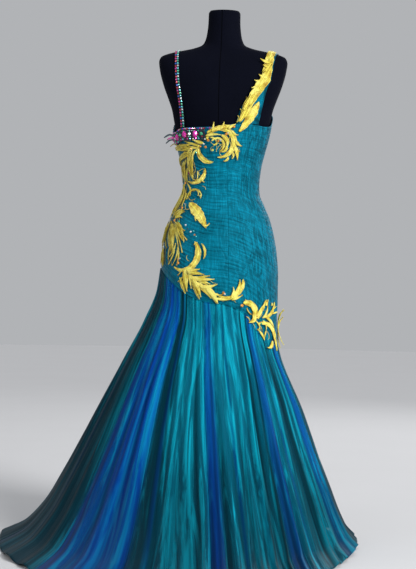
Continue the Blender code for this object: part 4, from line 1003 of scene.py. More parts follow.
def blue_at(turn, share):
    """How blue the net is, between 0 and 1: the blue gores with soft uneven edges."""
    sway = 1.6 * wander(turn, share, 41, 20, 3.0)
    total = np.zeros(np.shape(turn))
    for gore in GORES:
        if gore.colour == "blue":
            off = np.abs(wrapped(turn + sway - (gore.start + gore.end) / 2)) - (gore.end - gore.start) / 2
            total = total + 1 - eased(-1.8, 1.6, off)
    streaked = np.clip(0.98 + 0.60 * wander(turn, share, 42, 50, 2.0, 7), 0.25, 1.0)
    stray = np.clip(1.4 * wander(turn, share, 43, 60, 2.0, 7) - 0.70, 0.0, 0.8)
    low_right = eased(0.35, 0.9, share) * eased(45, 65, wrapped(turn))
    back_right = eased(0, 25, wrapped(turn))
    middle_top = (1 - eased(5, 12, np.abs(wrapped(turn + 2.0)))) * (1 - eased(0.10, 0.75, share))
    total = np.maximum(total * streaked, stray) * (1 - 0.35 * back_right) * (1 - 0.5 * low_right)
    total = total * (1 - 0.45 * middle_top)
    return np.clip(total, 0.0, 1.0)


def sheer_and_painted_light_at(turn, share):
    """Between 0 where the net lies dense and dark and 1 where the bright lining shows, times painted light
    and shade: brightest round turn 18, on the side that the light comes from, fading round the body, and
    darker towards the hem.
    """
    broad = wander(turn, share, 44, 26, 3.0, 9)
    fine = wander(turn, share, 45, 120, 5.0, 9)
    level = 0.55 + 1.00 * broad + 0.55 * fine
    # Painted light and shade: brightest round turn 18, on the side that the light comes from, and fading
    # round the body to the far sides.
    off = wrapped(turn - 18.0)
    beyond = np.where(off > 0, eased(35, 95, off), eased(62, 88, -off))
    near = np.where(off > 0, 0.0, eased(12, 40, -off))
    painted_light_falloff = mixed(1.25, 0.20, beyond) * mixed(1.0, 0.75, near)
    painted_light_falloff = mixed(painted_light_falloff, 0.85, eased(112, 150, np.abs(off)))
    level = level * painted_light_falloff * mixed(1.18, 0.24, eased(0.12, 0.78, share))
    left_blue = (1 - eased(10.0, 17.0, np.abs(wrapped(turn + 49.0)))) * mixed(1.0, 0.6, share)
    return np.clip(np.maximum(level, left_blue * (0.42 + 0.35 * fine)), 0.0, 1.0)


def net_place(gore, first_fold):
    indices = first_fold + np.arange(gore.folds)
    widths = FOLD_WIDTHS[indices % len(FOLD_WIDTHS)]
    starts = np.concatenate(([0.0], np.cumsum(widths))) / widths.sum()

    def place(u, v):
        share = 1 - v
        k = np.clip(np.searchsorted(starts, u, side="right") - 1, 0, gore.folds - 1)
        phase = (u - starts[k]) / (starts[k + 1] - starts[k])
        turn = mixed(gore.start, gore.end, u)
        drift = 0.30 * wander(turn, share, 23, 14, 5.0)
        phase = phase + drift * np.sin(np.pi * phase) ** 2 * eased(0.0, 0.3, share)
        rise = (0.5 - 0.5 * np.cos(2 * np.pi * phase)) ** 0.8
        rise = rise * np.clip(0.70 + 0.42 * wander(turn, share, 24, 26, 5.0), 0.15, 1.0)
        fold = first_fold + k
        depth = FOLD_DEPTHS[fold % len(FOLD_DEPTHS)]
        swung = turn + curve(FOLD_SWING, wrapped(turn), "swing") * share
        base, normal = flare_point(swung, share), flare_normal(swung, share)
        crest = fold_height(share, depth, fold % 3 == 2) * (1 - 0.45 * normal[:, 2] ** 2)
        crest = crest * mixed(1.0, 0.70, eased(0.05, 0.25, share) * (1 - eased(0.75, 1.0, share)))
        gather = np.abs(np.sin(np.radians(turn) * 60 + 1.8 * wander(turn, share, 21, 12, 5.0)))
        gather = gather * 0.0016 * (1 - eased(0.04, 0.40, share))
        crease = np.abs(np.sin(np.radians(turn) * 36 + 2.6 * wander(turn, share, 22, 9, 7.0)))
        patch = np.clip(0.45 + 0.75 * wander(turn, share, 25, 11, 5.0), 0.0, 1.0)
        ripple = crease * patch * 0.0062 * eased(0.08, 0.6, share)
        lift = rise * crest + (gather + ripple) * (0.30 + 0.70 * rise)
        lift = lift + NET - CLOTH * (1 - eased(0.0, 0.2, share))
        points = base + normal * lift[:, None]
        points[:, 2] = np.maximum(points[:, 2], 0.0022)
        relief = np.clip(0.66 * rise + 0.34 * (ripple / 0.0062 + gather / 0.0016), 0.0, 1.0)
        return points, relief, blue_at(turn, share), sheer_and_painted_light_at(turn, share)

    return place


def lining_place(half):
    def place(u, v):
        share = 1 - v
        turn = mixed(half.start, half.end, u)
        fold = u * half.folds
        rise = 0.5 - 0.5 * np.cos(2 * np.pi * fold)
        rise = rise * (0.7 + 0.3 * np.sin(1.7 * np.minimum(np.floor(fold), half.folds - 1)))
        swung = turn + curve(FOLD_SWING, wrapped(turn), "swing") * share
        angle = np.radians(swung)
        across, along = np.sin(angle), np.cos(angle)
        hem = np.where(across > 0, LINING_HEM["right"], LINING_HEM["left"]) * across**2
        hem = hem + np.where(along > 0, LINING_HEM["back"], LINING_HEM["front"]) * along**2
        base = flare_point(swung, share * hem)
        level = unit(base * (1.0, 1.0, 0.0))
        sway = wander(turn, share, 31, 14, 7.0)
        crease = np.abs(np.sin(np.radians(turn) * 40 + 2.2 * sway)) ** 0.7
        crinkle = wander(turn, share, 32, 60, 60.0, 9)
        inward = curve(LINING_INSET, share, "inward") - rise * curve(LINING_INSET, share, "fold")
        inward = inward + (0.0045 * (1 - crease) + 0.0008 * crinkle) * eased(0.0, 0.3, share)
        points = base - level * inward[:, None]
        points[:, 2] -= LINING_TUCK * (1 - eased(0.0, 0.05, share))
        return points, np.clip(0.6 * rise + 0.4 * crease, 0.0, 1.0)

    return place


def centreline(line, steps=160):
    """Share, turn, height and heading along a bent line over the cloth."""
    turn, up = line.turn, line.up
    rows = [(0.0, turn, up, math.radians(line.heading))]
    step = line.length / steps
    for k in range(1, steps + 1):
        heading = math.radians(line.heading + line.bend * (k - 0.5) / steps)
        turn += step * math.cos(heading) / girth_at(turn, up)
        up += step * math.sin(heading)
        rows.append((k / steps, turn, up, math.radians(line.heading + line.bend * k / steps)))
    return np.array(rows).T


def girth_at(turn, up):
    """Metres of cloth for each degree of turn."""
    angle = math.radians(turn)
    side = float(curve(SHEATH, up, "side"))
    depth = float(curve(SHEATH, up, "back" if math.cos(angle) > 0 else "front"))
    return math.hypot(side * math.cos(angle), depth * math.sin(angle)) * math.radians(1.0)


def leaf_edge(share, lobes, body, cut):
    """Half width of a leaf's side, with shallow waves that lean to its tip."""
    tooth = (share * lobes) % 1.0
    rise = np.where(tooth < 0.74, (tooth / 0.74) ** 0.65, ((1 - tooth) / 0.26) ** 0.7)
    return body * (1 - cut + cut * 1.15 * rise)


def leaf_relief(side, share, lobes):
    """A leaf's raised work between 0 and 1: corded edge, spine and veins."""
    edge = np.exp(-(((np.abs(side) - 0.93) / 0.055) ** 2))
    spine = np.exp(-((side / 0.10) ** 2))
    vein = 0.5 + 0.5 * np.cos(2 * np.pi * (share * lobes - 0.74 - 0.55 * (1 - np.abs(side))))
    return np.clip(0.30 * (1 - side**2) + 0.55 * edge + 0.45 * spine + 0.30 * vein, 0.0, 1.0)


def beside(turn, up, heading, off):
    """A place `off` metres to the left of a heading."""
    girth = np.vectorize(girth_at)(turn, up)
    return turn - off * np.sin(heading) / girth, up + off * np.cos(heading)


def body_width(share, motif):
    """A leaf's width along it, between its root's and 1 at its widest, and nothing at its tip."""
    before = mixed(motif.root, 1.0, np.sin(np.pi / 2 * np.clip(share / motif.widest, 0.0, 1.0)))
    after = np.cos(np.pi / 2 * np.clip((share - motif.widest) / (1 - motif.widest), 0.0, 1.0)) ** 0.7
    return np.maximum(np.where(share < motif.widest, before, after), TIP_WIDTH)


def motif_place(motif):
    """Where the points of a motif's main leaf go."""
    line = centreline(motif)
    sides = np.array(MOTIF_SIDES, float)

    def place(u, v):
        side = sides[np.rint(u * (len(sides) - 1)).astype(int)]
        half = motif.width / 2 * motif.fill * leaf_edge(v, motif.lobes, body_width(v, motif), EDGE_CUT)
        at = np.clip(v + LEAF_SLANT * np.abs(side) * half / motif.length * (1 - v), 0.0, 1.0)
        turn, up, heading = (np.interp(at, line[0], line[k]) for k in (1, 2, 3))
        turn, up = beside(turn, up, heading, -side * half)
        raised = leaf_relief(side, v, motif.lobes)
        lift = LAY_GAP + motif.layer * MOTIF_LAYER + motif.spring * (2 * v - 1) ** 2
        out = lift + MOTIF_CLOTH + MOTIF_RAISED * raised
        return cover_point(turn, up, out), raised

    return place


def lobe_place(lobe, lift):
    """Where the points of one pointed lobe go."""
    line = centreline(lobe, 16)
    sides = np.array(LOBE_SIDES, float)

    def place(u, v):
        side = sides[np.rint(u * (len(sides) - 1)).astype(int)]
        rounded = np.sin(np.pi * np.clip(v, 0.05, 1.0) ** 0.62) ** 0.95
        half = lobe.width / 2 * np.maximum(rounded, 0.06)
        turn, up, heading = (np.interp(v, line[0], line[k]) for k in (1, 2, 3))
        turn, up = beside(turn, up, heading, -side * half)
        rim = np.exp(-(((np.abs(side) - 0.85) / 0.15) ** 2))
        spine = np.exp(-((side / 0.2) ** 2))
        raised = np.clip(0.35 * (1 - side**2) + 0.45 * rim + 0.50 * spine, 0.0, 1.0)
        return cover_point(turn, up, lift + MOTIF_CLOTH + LOBE_RAISED * raised), raised

    return place


def strands_of(motif):
    """The slender strands along a motif's sides, as leaflets that lean a little outwards."""
    line = centreline(motif)
    made = []
    for k in range(motif.strands):
        for side in (1, -1):
            share = (k + (0.2 if side > 0 else 0.5)) / motif.strands * STRANDED_SHARE
            turn, up, heading = (float(np.interp(share, line[0], line[j])) for j in (1, 2, 3))
            half = motif.width / 2 * float(body_width(np.array(share), motif))
            turn, up = beside(np.array(turn), np.array(up), heading, side * half * 0.55)
            turned = math.degrees(heading) + side * (20.0 - 3.0 * k)
            length = motif.length * (0.46 - 0.05 * k)
            place = (float(turn), float(up), turned, -side * STRAND_BEND)
            made.append((*place, length, STRAND_WIDTH, k % 2 + 0.6))
    return named_rows(LEAFLET, *made)


def strap_across(plan, way, share, side):
    if way > 0:
        foot = float(body_point(STRAP_FRONT_TURN[plan.name], top_edge(STRAP_FRONT_TURN[plan.name]))[0])
        return mixed(foot, plan.top_across, share) + side * mixed(plan.middle_half, plan.top_half, share)
    if share < 0.5:
        middle = mixed(plan.edge_across, plan.middle_across, share / 0.5)
    else:
        middle = mixed(plan.middle_across, plan.top_across, share / 0.5 - 1)
    half = mixed(plan.edge_half, plan.middle_half, eased(0.0, 0.5, share))
    return middle + side * mixed(half, plan.top_half, eased(0.5, 1.0, share))


def edge_turn_of(across, way):
    """The turn at which the bodice's top edge is this far across, at the back (-1) or front (1)."""
    low, high = (0.0, 89.0) if way < 0 else (179.0, 91.0)
    for _ in range(20):
        middle = (low + high) / 2
        turn = math.copysign(middle, across)
        if abs(float(body_point(turn, top_edge(turn))[0])) < abs(across):
            low = middle
        else:
            high = middle
    return math.copysign((low + high) / 2, across)


def strap_line(plan, way, side, rows):
    """Points up a strap's inner face, read off its solid with rays out of the shoulder's core."""
    tree = STRAP_TREES[f"strap_{plan.name}_{'front' if way > 0 else 'back'}"]
    turn = edge_turn_of(float(strap_across(plan, way, 0.0, side)), way)
    foot = body_point(turn, top_edge(turn), CLOTH)
    first = math.atan2(float(foot[2]) - SHOULDER_CORE_UP, abs(float(foot[1]))) + 0.002
    last = math.radians(89.8)
    found = []
    for k in range(rows * 4 + 1):
        share = k / (rows * 4)
        swing = mixed(first, last, share)
        core = Vector((float(strap_across(plan, way, share, side * 0.96)), 0.0, SHOULDER_CORE_UP))
        hit = tree.ray_cast(core, Vector((0.0, way * math.cos(swing), math.sin(swing))))[0]
        if hit is not None:
            found.append(np.array(hit))
    if found[0][2] > foot[2] + 0.002:
        found.insert(0, np.array(foot))
    found = np.array(found)
    steps = np.concatenate(([0.0], np.cumsum(np.linalg.norm(np.diff(found, axis=0), axis=1))))
    even = np.linspace(0.0, steps[-1], rows + 1)
    return np.stack([np.interp(even, steps, found[:, k]) for k in range(3)], axis=1)


# Settings and operators


class GownColours(bpy.types.PropertyGroup):
    """Colours of the cloth, the work on it and the form."""

    bodice: FloatVectorProperty(
        name="Bodice", description="Ruched cloth of the bodice",
        default=(0.001, 0.108, 0.168), subtype="COLOR",
    )
    net_teal: FloatVectorProperty(
        name="Teal net", description="Net of the teal gores", default=(0.001, 0.072, 0.115), subtype="COLOR"
    )
    net_blue: FloatVectorProperty(
        name="Blue net", description="Net of the blue gores", default=(0.001, 0.040, 0.260), subtype="COLOR"
    )
    lining: FloatVectorProperty(
        name="Lining", description="Crinkled cloth under the net",
        default=(0.001, 0.190, 0.280), subtype="COLOR",
    )
    gold: FloatVectorProperty(
        name="Embroidery", description="Metal thread of the appliqué",
        default=(1.00, 0.78, 0.11), subtype="COLOR",
    )
    form: FloatVectorProperty(
        name="Form", description="Jersey cover of the dress form",
        default=(0.0020, 0.0025, 0.0060), subtype="COLOR",
    )


class GownCloth(bpy.types.PropertyGroup):
    """Sizes of the cloth pieces."""

    bodice_thickness: FloatProperty(
        name="Bodice wall", description="Thickness of the ruched cloth", default=0.0014, unit="LENGTH"
    )
    net_thickness: FloatProperty(
        name="Net wall", description="Thickness of the gathered net", default=0.0012, unit="LENGTH"
    )
    lining_thickness: FloatProperty(
        name="Lining wall", description="Thickness of the lining", default=0.0012, unit="LENGTH"
    )
    ruche_folds: IntProperty(
        name="Ruche folds", description="Folds from the top edge to the skirt seam", default=45, min=8, max=90
    )
    crush_width: FloatProperty(
        name="Crush width", description="Degrees of turn from one upright crush line to the next", default=6.0
    )
    net_opacity: FloatProperty(
        name="Net opacity", description="How much the net hides",
        default=0.58, min=0.0, max=1.0, subtype="FACTOR",
    )


class GownStage(bpy.types.PropertyGroup):
    """Floor, light and camera."""

    floor_radius: FloatProperty(name="Floor", description="Radius of the floor", default=9.0, unit="LENGTH")
    floor_colour: FloatVectorProperty(
        name="Floor colour", description="Pale studio floor", default=(0.62, 0.62, 0.63), subtype="COLOR"
    )
    sun_strength: FloatProperty(name="Soft sun", description="Strength of the broad light", default=2.0)
    key_power: FloatProperty(name="Key", description="Power of the main light in watts", default=80.0)
    fill_power: FloatProperty(name="Fill", description="Power of the fill light in watts", default=18.0)
    camera_distance: FloatProperty(
        name="Camera distance", description="From the dress's axis", default=5.0, unit="LENGTH"
    )
    camera_turn: FloatProperty(
        name="Camera turn", description="Round the dress, to the right",
        default=math.radians(4.5), subtype="ANGLE",
    )
    camera_height: FloatProperty(
        name="Camera height", description="Above the floor", default=0.863, unit="LENGTH"
    )
    camera_tilt: FloatProperty(
        name="Camera tilt", description="Down from level", default=math.radians(1.438), subtype="ANGLE"
    )
    camera_roll: FloatProperty(
        name="Camera roll", description="About the line of sight",
        default=math.radians(1.075), subtype="ANGLE",
    )


FINISHES = {}

# Glass of the stones, as its finish's name and colour.
GLASS = {
    "amber": ("amber_glass", (0.75, 0.26, 0.03)),
    "clear": ("clear_glass", (0.70, 0.78, 0.80)),
    "green": ("green_glass", (0.05, 0.42, 0.22)),
    "aqua": ("aqua_glass", (0.10, 0.55, 0.55)),
    "magenta": ("magenta_glass", (0.60, 0.02, 0.32)),
    "red": ("red_glass", (0.50, 0.02, 0.05)),
    "blue_stone": ("blue_glass", (0.03, 0.08, 0.50)),
    "dark": ("dark_glass", (0.02, 0.05, 0.07)),
}


def finish_of(name):
    """The named finish, made the first time that it is asked for."""
    if name in FINISHES:
        return FINISHES[name]
    if name in GLASS:
        FINISHES[name] = glass_finish(*GLASS[name])
        return FINISHES[name]
    colours = bpy.context.scene.gown_colours
    opacity = bpy.context.scene.gown_cloth.net_opacity
    makers = {
        "bodice": lambda: bodice_finish(colours),
        "net": lambda: net_finish(colours, opacity),
        "lining": lambda: lining_finish(colours),
        "gold": lambda: gold_finish("gold_embroidery", colours.gold, 420.0),
        "cord": lambda: cord_finish("gold_cord", colours.gold),
        "thread": lambda: cord_finish("gold_thread", times(colours.gold, 0.55)),
        "band": band_finish,
        "form": lambda: form_finish(colours),
        "metal": metal_finish,
        "gold_bead": lambda: glass_finish("gold_bead", colours.gold),
    }
    FINISHES[name] = makers[name]()
    return FINISHES[name]


class GOWN_OT_form(bpy.types.Operator):
    """Smooth dress form, with a finer skin than its solid"""

    bl_idname = "gown.form"
    bl_label = "Dress form"

    def execute(self, context):
        columns, rows = 120, 150
        low = np.linspace(FORM_BASE_UP, 1.165, 60, endpoint=False)
        fine = np.linspace(0.0, len(FORM_TOP) - 1, rows - len(low) + 1)
        columns_of = FORM_TOP[0]._fields
        counted = named_rows("key " + " ".join(columns_of), *((k, *row) for k, row in enumerate(FORM_TOP)))
        top = {column: curve(counted, fine, column) for column in columns_of}

        def place(u, v):
            turn = 360.0 * u - 180.0
            index = np.rint(v * rows).astype(int)
            lower = index < len(low)
            up_low = low[np.minimum(index, len(low) - 1)]
            tuck = FORM_CLEARANCE + 0.006 * (1 - eased(0.0, 0.007, up_low - FORM_BASE_UP))
            below = body_point(turn, up_low, tuck)
            k = np.maximum(index - len(low), 0)
            up, side, back, front, square, ahead = (top[column][k] for column in columns_of)
            across, along = np.sin(np.radians(turn)), np.cos(np.radians(turn))
            power = 2.0 / square
            depth = np.where(along > 0, back, front)
            full = bust_fullness(turn, up)
            x = side * np.sign(across) * np.abs(across) ** power + full * across
            y = ahead - depth * np.sign(along) * np.abs(along) ** power - full * along
            above = stacked(x, y, up)
            return np.where(lower[:, None], below, above), np.zeros(len(u))

        mesh = grid_mesh("dress_form", columns, rows, place)
        built = bmesh.new()
        built.from_mesh(mesh)
        bmesh.ops.remove_doubles(built, verts=built.verts, dist=0.0001)
        rims = [e for e in built.edges if e.is_boundary]
        bmesh.ops.holes_fill(built, edges=rims, sides=columns + 2)
        bmesh.ops.recalc_face_normals(built, faces=built.faces)
        built.to_mesh(mesh)
        built.free()
        mesh.shade_smooth()
        mesh.set_sharp_from_angle(angle=math.radians(50))
        piece = linked("dress_form", mesh, finish_of("form"))
        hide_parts("form_torso")
        return {"FINISHED"}


class GOWN_OT_stand(bpy.types.Operator):
    """Satin black paint on the stand's base and pole"""

    bl_idname = "gown.stand"
    bl_label = "Stand"

    def execute(self, context):
        for name in ("stand_base", "stand_pole"):
            NODES[name].data.materials.clear()
            NODES[name].data.materials.append(finish_of("metal"))
        return {"FINISHED"}


class GOWN_OT_bodice(bpy.types.Operator):
    """Four ruched panels from the top edge to the skirt seam"""

    bl_idname = "gown.bodice"
    bl_label = "Ruched bodice"

    def execute(self, context):
        settings = context.scene.gown_cloth
        for panel in PANELS:
            name = panel.name.replace("bodice", "ruched")
            grid = (panel.columns, panel.rows, bodice_place(panel, settings))
            looks = (settings.bodice_thickness, finish_of("bodice"), "bodice_teal")
            cloth_piece(name, *grid, *looks, [panel.name], "stretched", ["dress_form"])
        return {"FINISHED"}


class GOWN_OT_net(bpy.types.Operator):
    """Thirteen gathered gores of sheer net, teal and blue"""

    bl_idname = "gown.net"
    bl_label = "Net skirt"

    def execute(self, context):
        thickness = context.scene.gown_cloth.net_thickness
        first_fold = 0
        for gore in GORES:
            name = gore.name.replace("skirt", "net")
            grid = (gore.folds * NET_COLUMNS_PER_FOLD, NET_ROWS, net_place(gore, first_fold))
            looks = (thickness, finish_of("net"), "tulle_" + gore.colour)
            cloth_piece(name, *grid, *looks, [gore.name], "gathered", ["taffeta_back", "taffeta_front"])
            first_fold += gore.folds
        return {"FINISHED"}


class GOWN_OT_lining(bpy.types.Operator):
    """Crinkled taffeta skirt under the net, in two halves"""

    bl_idname = "gown.lining"
    bl_label = "Lining"

    def execute(self, context):
        thickness = context.scene.gown_cloth.lining_thickness
        for half in LINING_HALVES:
            name = half.name.replace("lining", "taffeta")
            grid = (half.columns, half.rows, lining_place(half))
            looks = (thickness, finish_of("lining"), "lining_teal")
            cloth_piece(name, *grid, *looks, [half.name], "hung", ["dress_form"])
        return {"FINISHED"}


# A stone's height and the width of its flat top, as shares of its radius.
GEM_TALL = 0.62
GEM_TABLE = 0.52


def gem(built, point, normal, radius, stretch):
    """A faceted stone: a low eight-sided cone cut flat on top."""
    normal = Vector(normal).normalized()
    side = Vector((0.0, 0.0, 1.0)).cross(normal).normalized()
    other = normal.cross(side)
    turned = Matrix((side, other, normal)).transposed().to_4x4()
    tall = radius * GEM_TALL
    place = Matrix.Translation(Vector(point) + normal * tall * 0.5) @ turned
    place = place @ Matrix.Diagonal((1.0, stretch, 1.0, 1.0))
    cut = {"cap_ends": True, "segments": 8, "radius1": radius, "radius2": radius * GEM_TABLE}
    bmesh.ops.create_cone(built, depth=tall, matrix=place, **cut)


def gem_piece(name, stones, colour):
    """One piece of many stones of one colour. Each stone is a point, a normal, a radius and a stretch."""
    built = bmesh.new()
    for stone in stones:
        gem(built, *stone)
    mesh = bpy.data.meshes.new(name)
    built.to_mesh(mesh)
    built.free()
    piece = linked(name, mesh, finish_of(colour))


def on_cloth(turn, up, out):
    """A point above the cloth and the normal there."""
    turn, up = np.array([float(turn)]), np.array([float(up)])
    point = cover_point(turn, up, np.array([out]))[0]
    return point, normal_of(body_point, turn, up)[0]


class GOWN_OT_applique(bpy.types.Operator):
    """Gold embroidered leaves and scrolls, laid on the bodice and the skirt seam"""

    bl_idname = "gown.applique"
    bl_label = "Appliqué"

    def execute(self, context):
        for motif in MOTIFS:
            parts = [("leaf", len(MOTIF_SIDES) - 1, motif.lobes * ROWS_PER_LOBE, motif_place(motif))]
            parts += self.lobes(strands_of(motif))
            node = "applique_" + motif.name
            self.joined("gold_" + motif.name, parts, MOTIF_CLOTH * 0.8, motif.length, node)
        for group in sorted(LEAFLETS):
            self.joined(f"gold_leaflets_{group}", self.lobes(LEAFLETS[group]), LEAFLET_PAD, LEAFLETS_FLAT)
        for colour, stones in STONES.items():
            placed = [(*on_cloth(stone.turn, stone.up, STONE_LIFT), stone.radius, 1.0) for stone in stones]
            gem_piece(f"applique_stones_{colour}", placed, colour)
        return {"FINISHED"}

    def lobes(self, leaflets):
        """A grid for each leaflet, as its kind, columns, rows and place."""
        kind = ("lobe", len(LOBE_SIDES) - 1, LOBE_ROWS)
        return [(*kind, lobe_place(leaflet, LAY_GAP + leaflet.layer * LEAFLET_LAYER)) for leaflet in leaflets]

    def joined(self, name, parts, thickness, length, node=None):
        """One embroidered piece of several small grids, with its cloth's thickness under it."""
        built = bmesh.new()
        for kind, columns, rows, place in parts:
            mesh = grid_mesh(kind, columns, rows, place)
            built.from_mesh(mesh)
            bpy.data.meshes.remove(mesh)
        mesh = bpy.data.meshes.new(name)
        built.to_mesh(mesh)
        built.free()
        mesh.shade_smooth()
        piece = linked(name, mesh, finish_of("gold"))
        wall = piece.modifiers.new("thickness", "SOLIDIFY")
        wall.thickness = thickness
        wall.offset = -1.0
        area = mesh_area(mesh)
        if node:
            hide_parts(node)


class GOWN_OT_tendrils(bpy.types.Operator):
    """Corded tendrils and thin stitched strands between the leaves"""

    bl_idname = "gown.tendrils"
    bl_label = "Tendrils and strands"

    def execute(self, context):
        lines = []
        for tendril in TENDRILS:
            _, turn, up, _ = centreline(tendril, TENDRIL_STEPS)
            lines.append((cover_point(turn, up, tendril.thick * 0.8), tendril.thick))
        by_finish = {"cord": lines, "thread": [], "dark": [], "magenta": []}
        for cord in FREE_CORDS:
            knots = named_rows("step x y z", *((k, *point) for k, point in enumerate(cord.points)))
            at = np.linspace(0, len(knots) - 1, CORD_STEPS)
            by_finish[cord.finish].append((stacked(*(curve(knots, at, c) for c in "xyz")), cord.thick))
        rng = np.random.default_rng(7)
        for field in STRAND_FIELDS:
            for k in range(field.count):
                share = (k + rng.uniform(0.1, 0.9)) / field.count
                start = mixed(field.turn_from, field.turn_to, share)
                lean = field.lean * (share - 0.5) * 2 + rng.uniform(-3, 3)
                begin, end = sorted(rng.uniform(0.0, 1.0, 2))
                end = min(begin + max(end - begin, 0.55), 1.0)
                t = np.linspace(begin, end, STRAND_STEPS)
                up = mixed(field.up_from, field.up_to, t)
                turn = start + lean * t + 2.2 * np.sin(3.0 * t + rng.uniform(0, 6))
                thick = rng.uniform(*STRAND_THICK)
                by_finish["thread"].append((cover_point(turn, up, STRAND_LIFT), thick))
        for finish, made in by_finish.items():
            piece = corded_piece(f"{finish}_tendrils", made, finish_of(finish))
        return {"FINISHED"}


def corded_piece(name, lines, finish):
    """Round cords along lines of points, tapered to their ends, as one mesh."""
    line_data = bpy.data.curves.new(name, "CURVE")
    line_data.dimensions = "3D"
    line_data.bevel_depth = 1.0
    line_data.bevel_resolution = 1
    line_data.use_fill_caps = True
    for points, thick in lines:
        spline = line_data.splines.new("POLY")
        spline.points.add(len(points) - 1)
        for k, (spot, point) in enumerate(zip(spline.points, points)):
            t = k / (len(points) - 1)
            spot.co = (*point, 1.0)
            spot.radius = thick / 2 * (0.45 + 0.55 * math.sin(math.pi * min(max(t, 0.02), 0.98)) ** 0.5)
    holder = bpy.data.objects.new(name + "_line", line_data)
    bpy.context.scene.collection.objects.link(holder)
    bpy.context.view_layer.update()
    mesh = bpy.data.meshes.new_from_object(holder.evaluated_get(bpy.context.evaluated_depsgraph_get()))
    bpy.data.objects.remove(holder)
    mesh.name = name
    mesh.materials.clear()
    mesh.shade_smooth()
    return linked(name, mesh, finish)


class GOWN_OT_straps(bpy.types.Operator):
    """A jewelled strap on the left and a wide cloth strap with its frond on the right"""

    bl_idname = "gown.straps"
    bl_label = "Straps"

    def execute(self, context):
        stones = {}
        for plan in STRAPS:
            for way in (-1, 1):
                self.strap(plan, way, stones)
        self.frond()
        for colour, placed in stones.items():
            gem_piece(f"strap_stones_{colour}", placed, colour)
        return {"FINISHED"}

    def strap(self, plan, way, stones):
        end = "front" if way > 0 else "back"
        rows = STRAP_ROWS
        jewelled = plan.name == "left"
        sides = np.linspace(-1.0, 1.0, 9 if jewelled else 17)
        table = np.array([strap_line(plan, way, s, rows) for s in sides])
        outward = self.outward(table, way)
        columns = len(sides) - 1

        def place(u, v):
            i = np.rint(u * columns).astype(int)
            i = columns - i if way > 0 else i
            j = np.rint(v * rows).astype(int)
            rim = np.exp(-(((np.abs(sides[i]) - 0.9) / 0.12) ** 2))
            relief = 0.5 + 0.5 * np.sin(40 * v + 3 * np.sin(9 * v) + 2 * sides[i])
            relief = relief * (1 - rim)
            lift = CLOTH * (0.75 + (0.1 if jewelled else 0.35) * relief)
            return table[i, j] + outward[i, j] * lift[:, None], relief

        finish, slot = ("band", "jewel_band") if jewelled else ("bodice", "bodice_teal")
        looks = (STRAP_CLOTH, finish_of(finish), slot)
        name = f"{plan.name}_{end}"
        grid = (columns, rows, place)
        cloth_piece("strap_cloth_" + name, *grid, *looks, ["strap_" + name], "stretched", ["dress_form"])
        if jewelled:
            self.set_stones(table, outward, stones)

    def outward(self, table, way):
        """Outward normals of a strap's table of points."""
        across = np.gradient(table, axis=0)
        along = np.gradient(table, axis=1)
        normal = unit(np.cross(along, across))
        level = np.array((0.0, float(way), 0.35))
        flip = np.sign((normal * level).sum(axis=2, keepdims=True))
        return normal * np.where(flip == 0, 1.0, flip)

    def set_stones(self, table, outward, stones):
        """Two rows of stones up a strap."""
        middle = table[len(table) // 2]
        length = np.linalg.norm(np.diff(middle, axis=0), axis=1).sum()
        count = int(length / STRAP_STONE_PITCH)
        order = (("red", "aqua"), ("magenta", "green"), ("red", "aqua"), ("blue_stone", "clear"))
        for k in range(count):
            at = (k + 0.5) / count * (table.shape[1] - 1)
            j, rest = int(at), at - int(at)
            for column, colour in ((2, order[k % 4][0]), (6, order[(k + 1) % 4][1])):
                point = mixed(table[column, j], table[column, min(j + 1, table.shape[1] - 1)], rest)
                normal = outward[column, j]
                stone = (point + normal * CLOTH * 0.8, normal, STRAP_STONE_RADIUS, 1.0)
                stones.setdefault(colour, []).append(stone)

    def frond(self):
        """The long frond over the right strap, from the bodice edge to the shoulder."""
        plan = STRAPS[1]
        rows = FROND_ROWS
        sides = np.linspace(-1.0, 1.0, 21)
        table = np.array([strap_line(plan, -1, s, rows) for s in sides])
        outward = self.outward(table, -1)
        across = np.array(MOTIF_SIDES, float)

        def place(u, v):
            share = mixed(1.0 / 16, 0.99, v)
            side = across[np.rint(u * (len(across) - 1)).astype(int)]
            half = FROND_HALF * (1 - FROND_TAPER * share)
            half = half * leaf_edge(share, 8, 1.0, 0.12) * (1 - eased(0.90, 1.0, v) * 0.7)
            half = half * mixed(0.5, 1.0, eased(0.0, 0.12, v))
            edges = [(strap_across(plan, -1, s, 1.0), strap_across(plan, -1, s, 0.0)) for s in share]
            plan_half = np.array([float(outer - inner) for outer, inner in edges])
            middle = np.minimum(FROND_HALF * (1 - FROND_TAPER * share) - 0.0015 - plan_half, 0.0) / plan_half
            place_side = (middle + side * half / plan_half + 1) / 2 * (len(sides) - 1)
            at = np.clip(share + LEAF_SLANT * np.abs(side) * half / 0.25, 0.0, 0.995) * rows
            raised = leaf_relief(side, share, 8)
            over_leaf = 1 - eased(0.25, 0.40, share)
            lift = CLOTH + FROND_GAP + FROND_RISE * over_leaf + MOTIF_CLOTH + MOTIF_RAISED * raised
            base = between(table, place_side, at)
            normal = unit(between(outward, place_side, at))
            return base + normal * lift[:, None], raised

        looks = (MOTIF_CLOTH, finish_of("gold"), "gold_applique")
        replaced, under = ["applique_strap_frond"], ["strap_cloth_right_back"]
        cloth_piece("gold_strap_frond", len(across) - 1, rows, place, *looks, replaced, "laid", under)


def between(table, column, row):
    """Values between the entries of a table, and on past its first and last columns."""
    last_column, last_row = table.shape[0] - 1, table.shape[1] - 1
    i = np.clip(np.floor(column).astype(int), 0, last_column - 1)
    j = np.clip(np.floor(row).astype(int), 0, last_row - 1)
    a, b = (column - i)[:, None], (row - j)[:, None]
    near = table[i, j] * (1 - a) + table[i + 1, j] * a
    far = table[i, j + 1] * (1 - a) + table[i + 1, j + 1] * a
    return near * (1 - b) + far * b


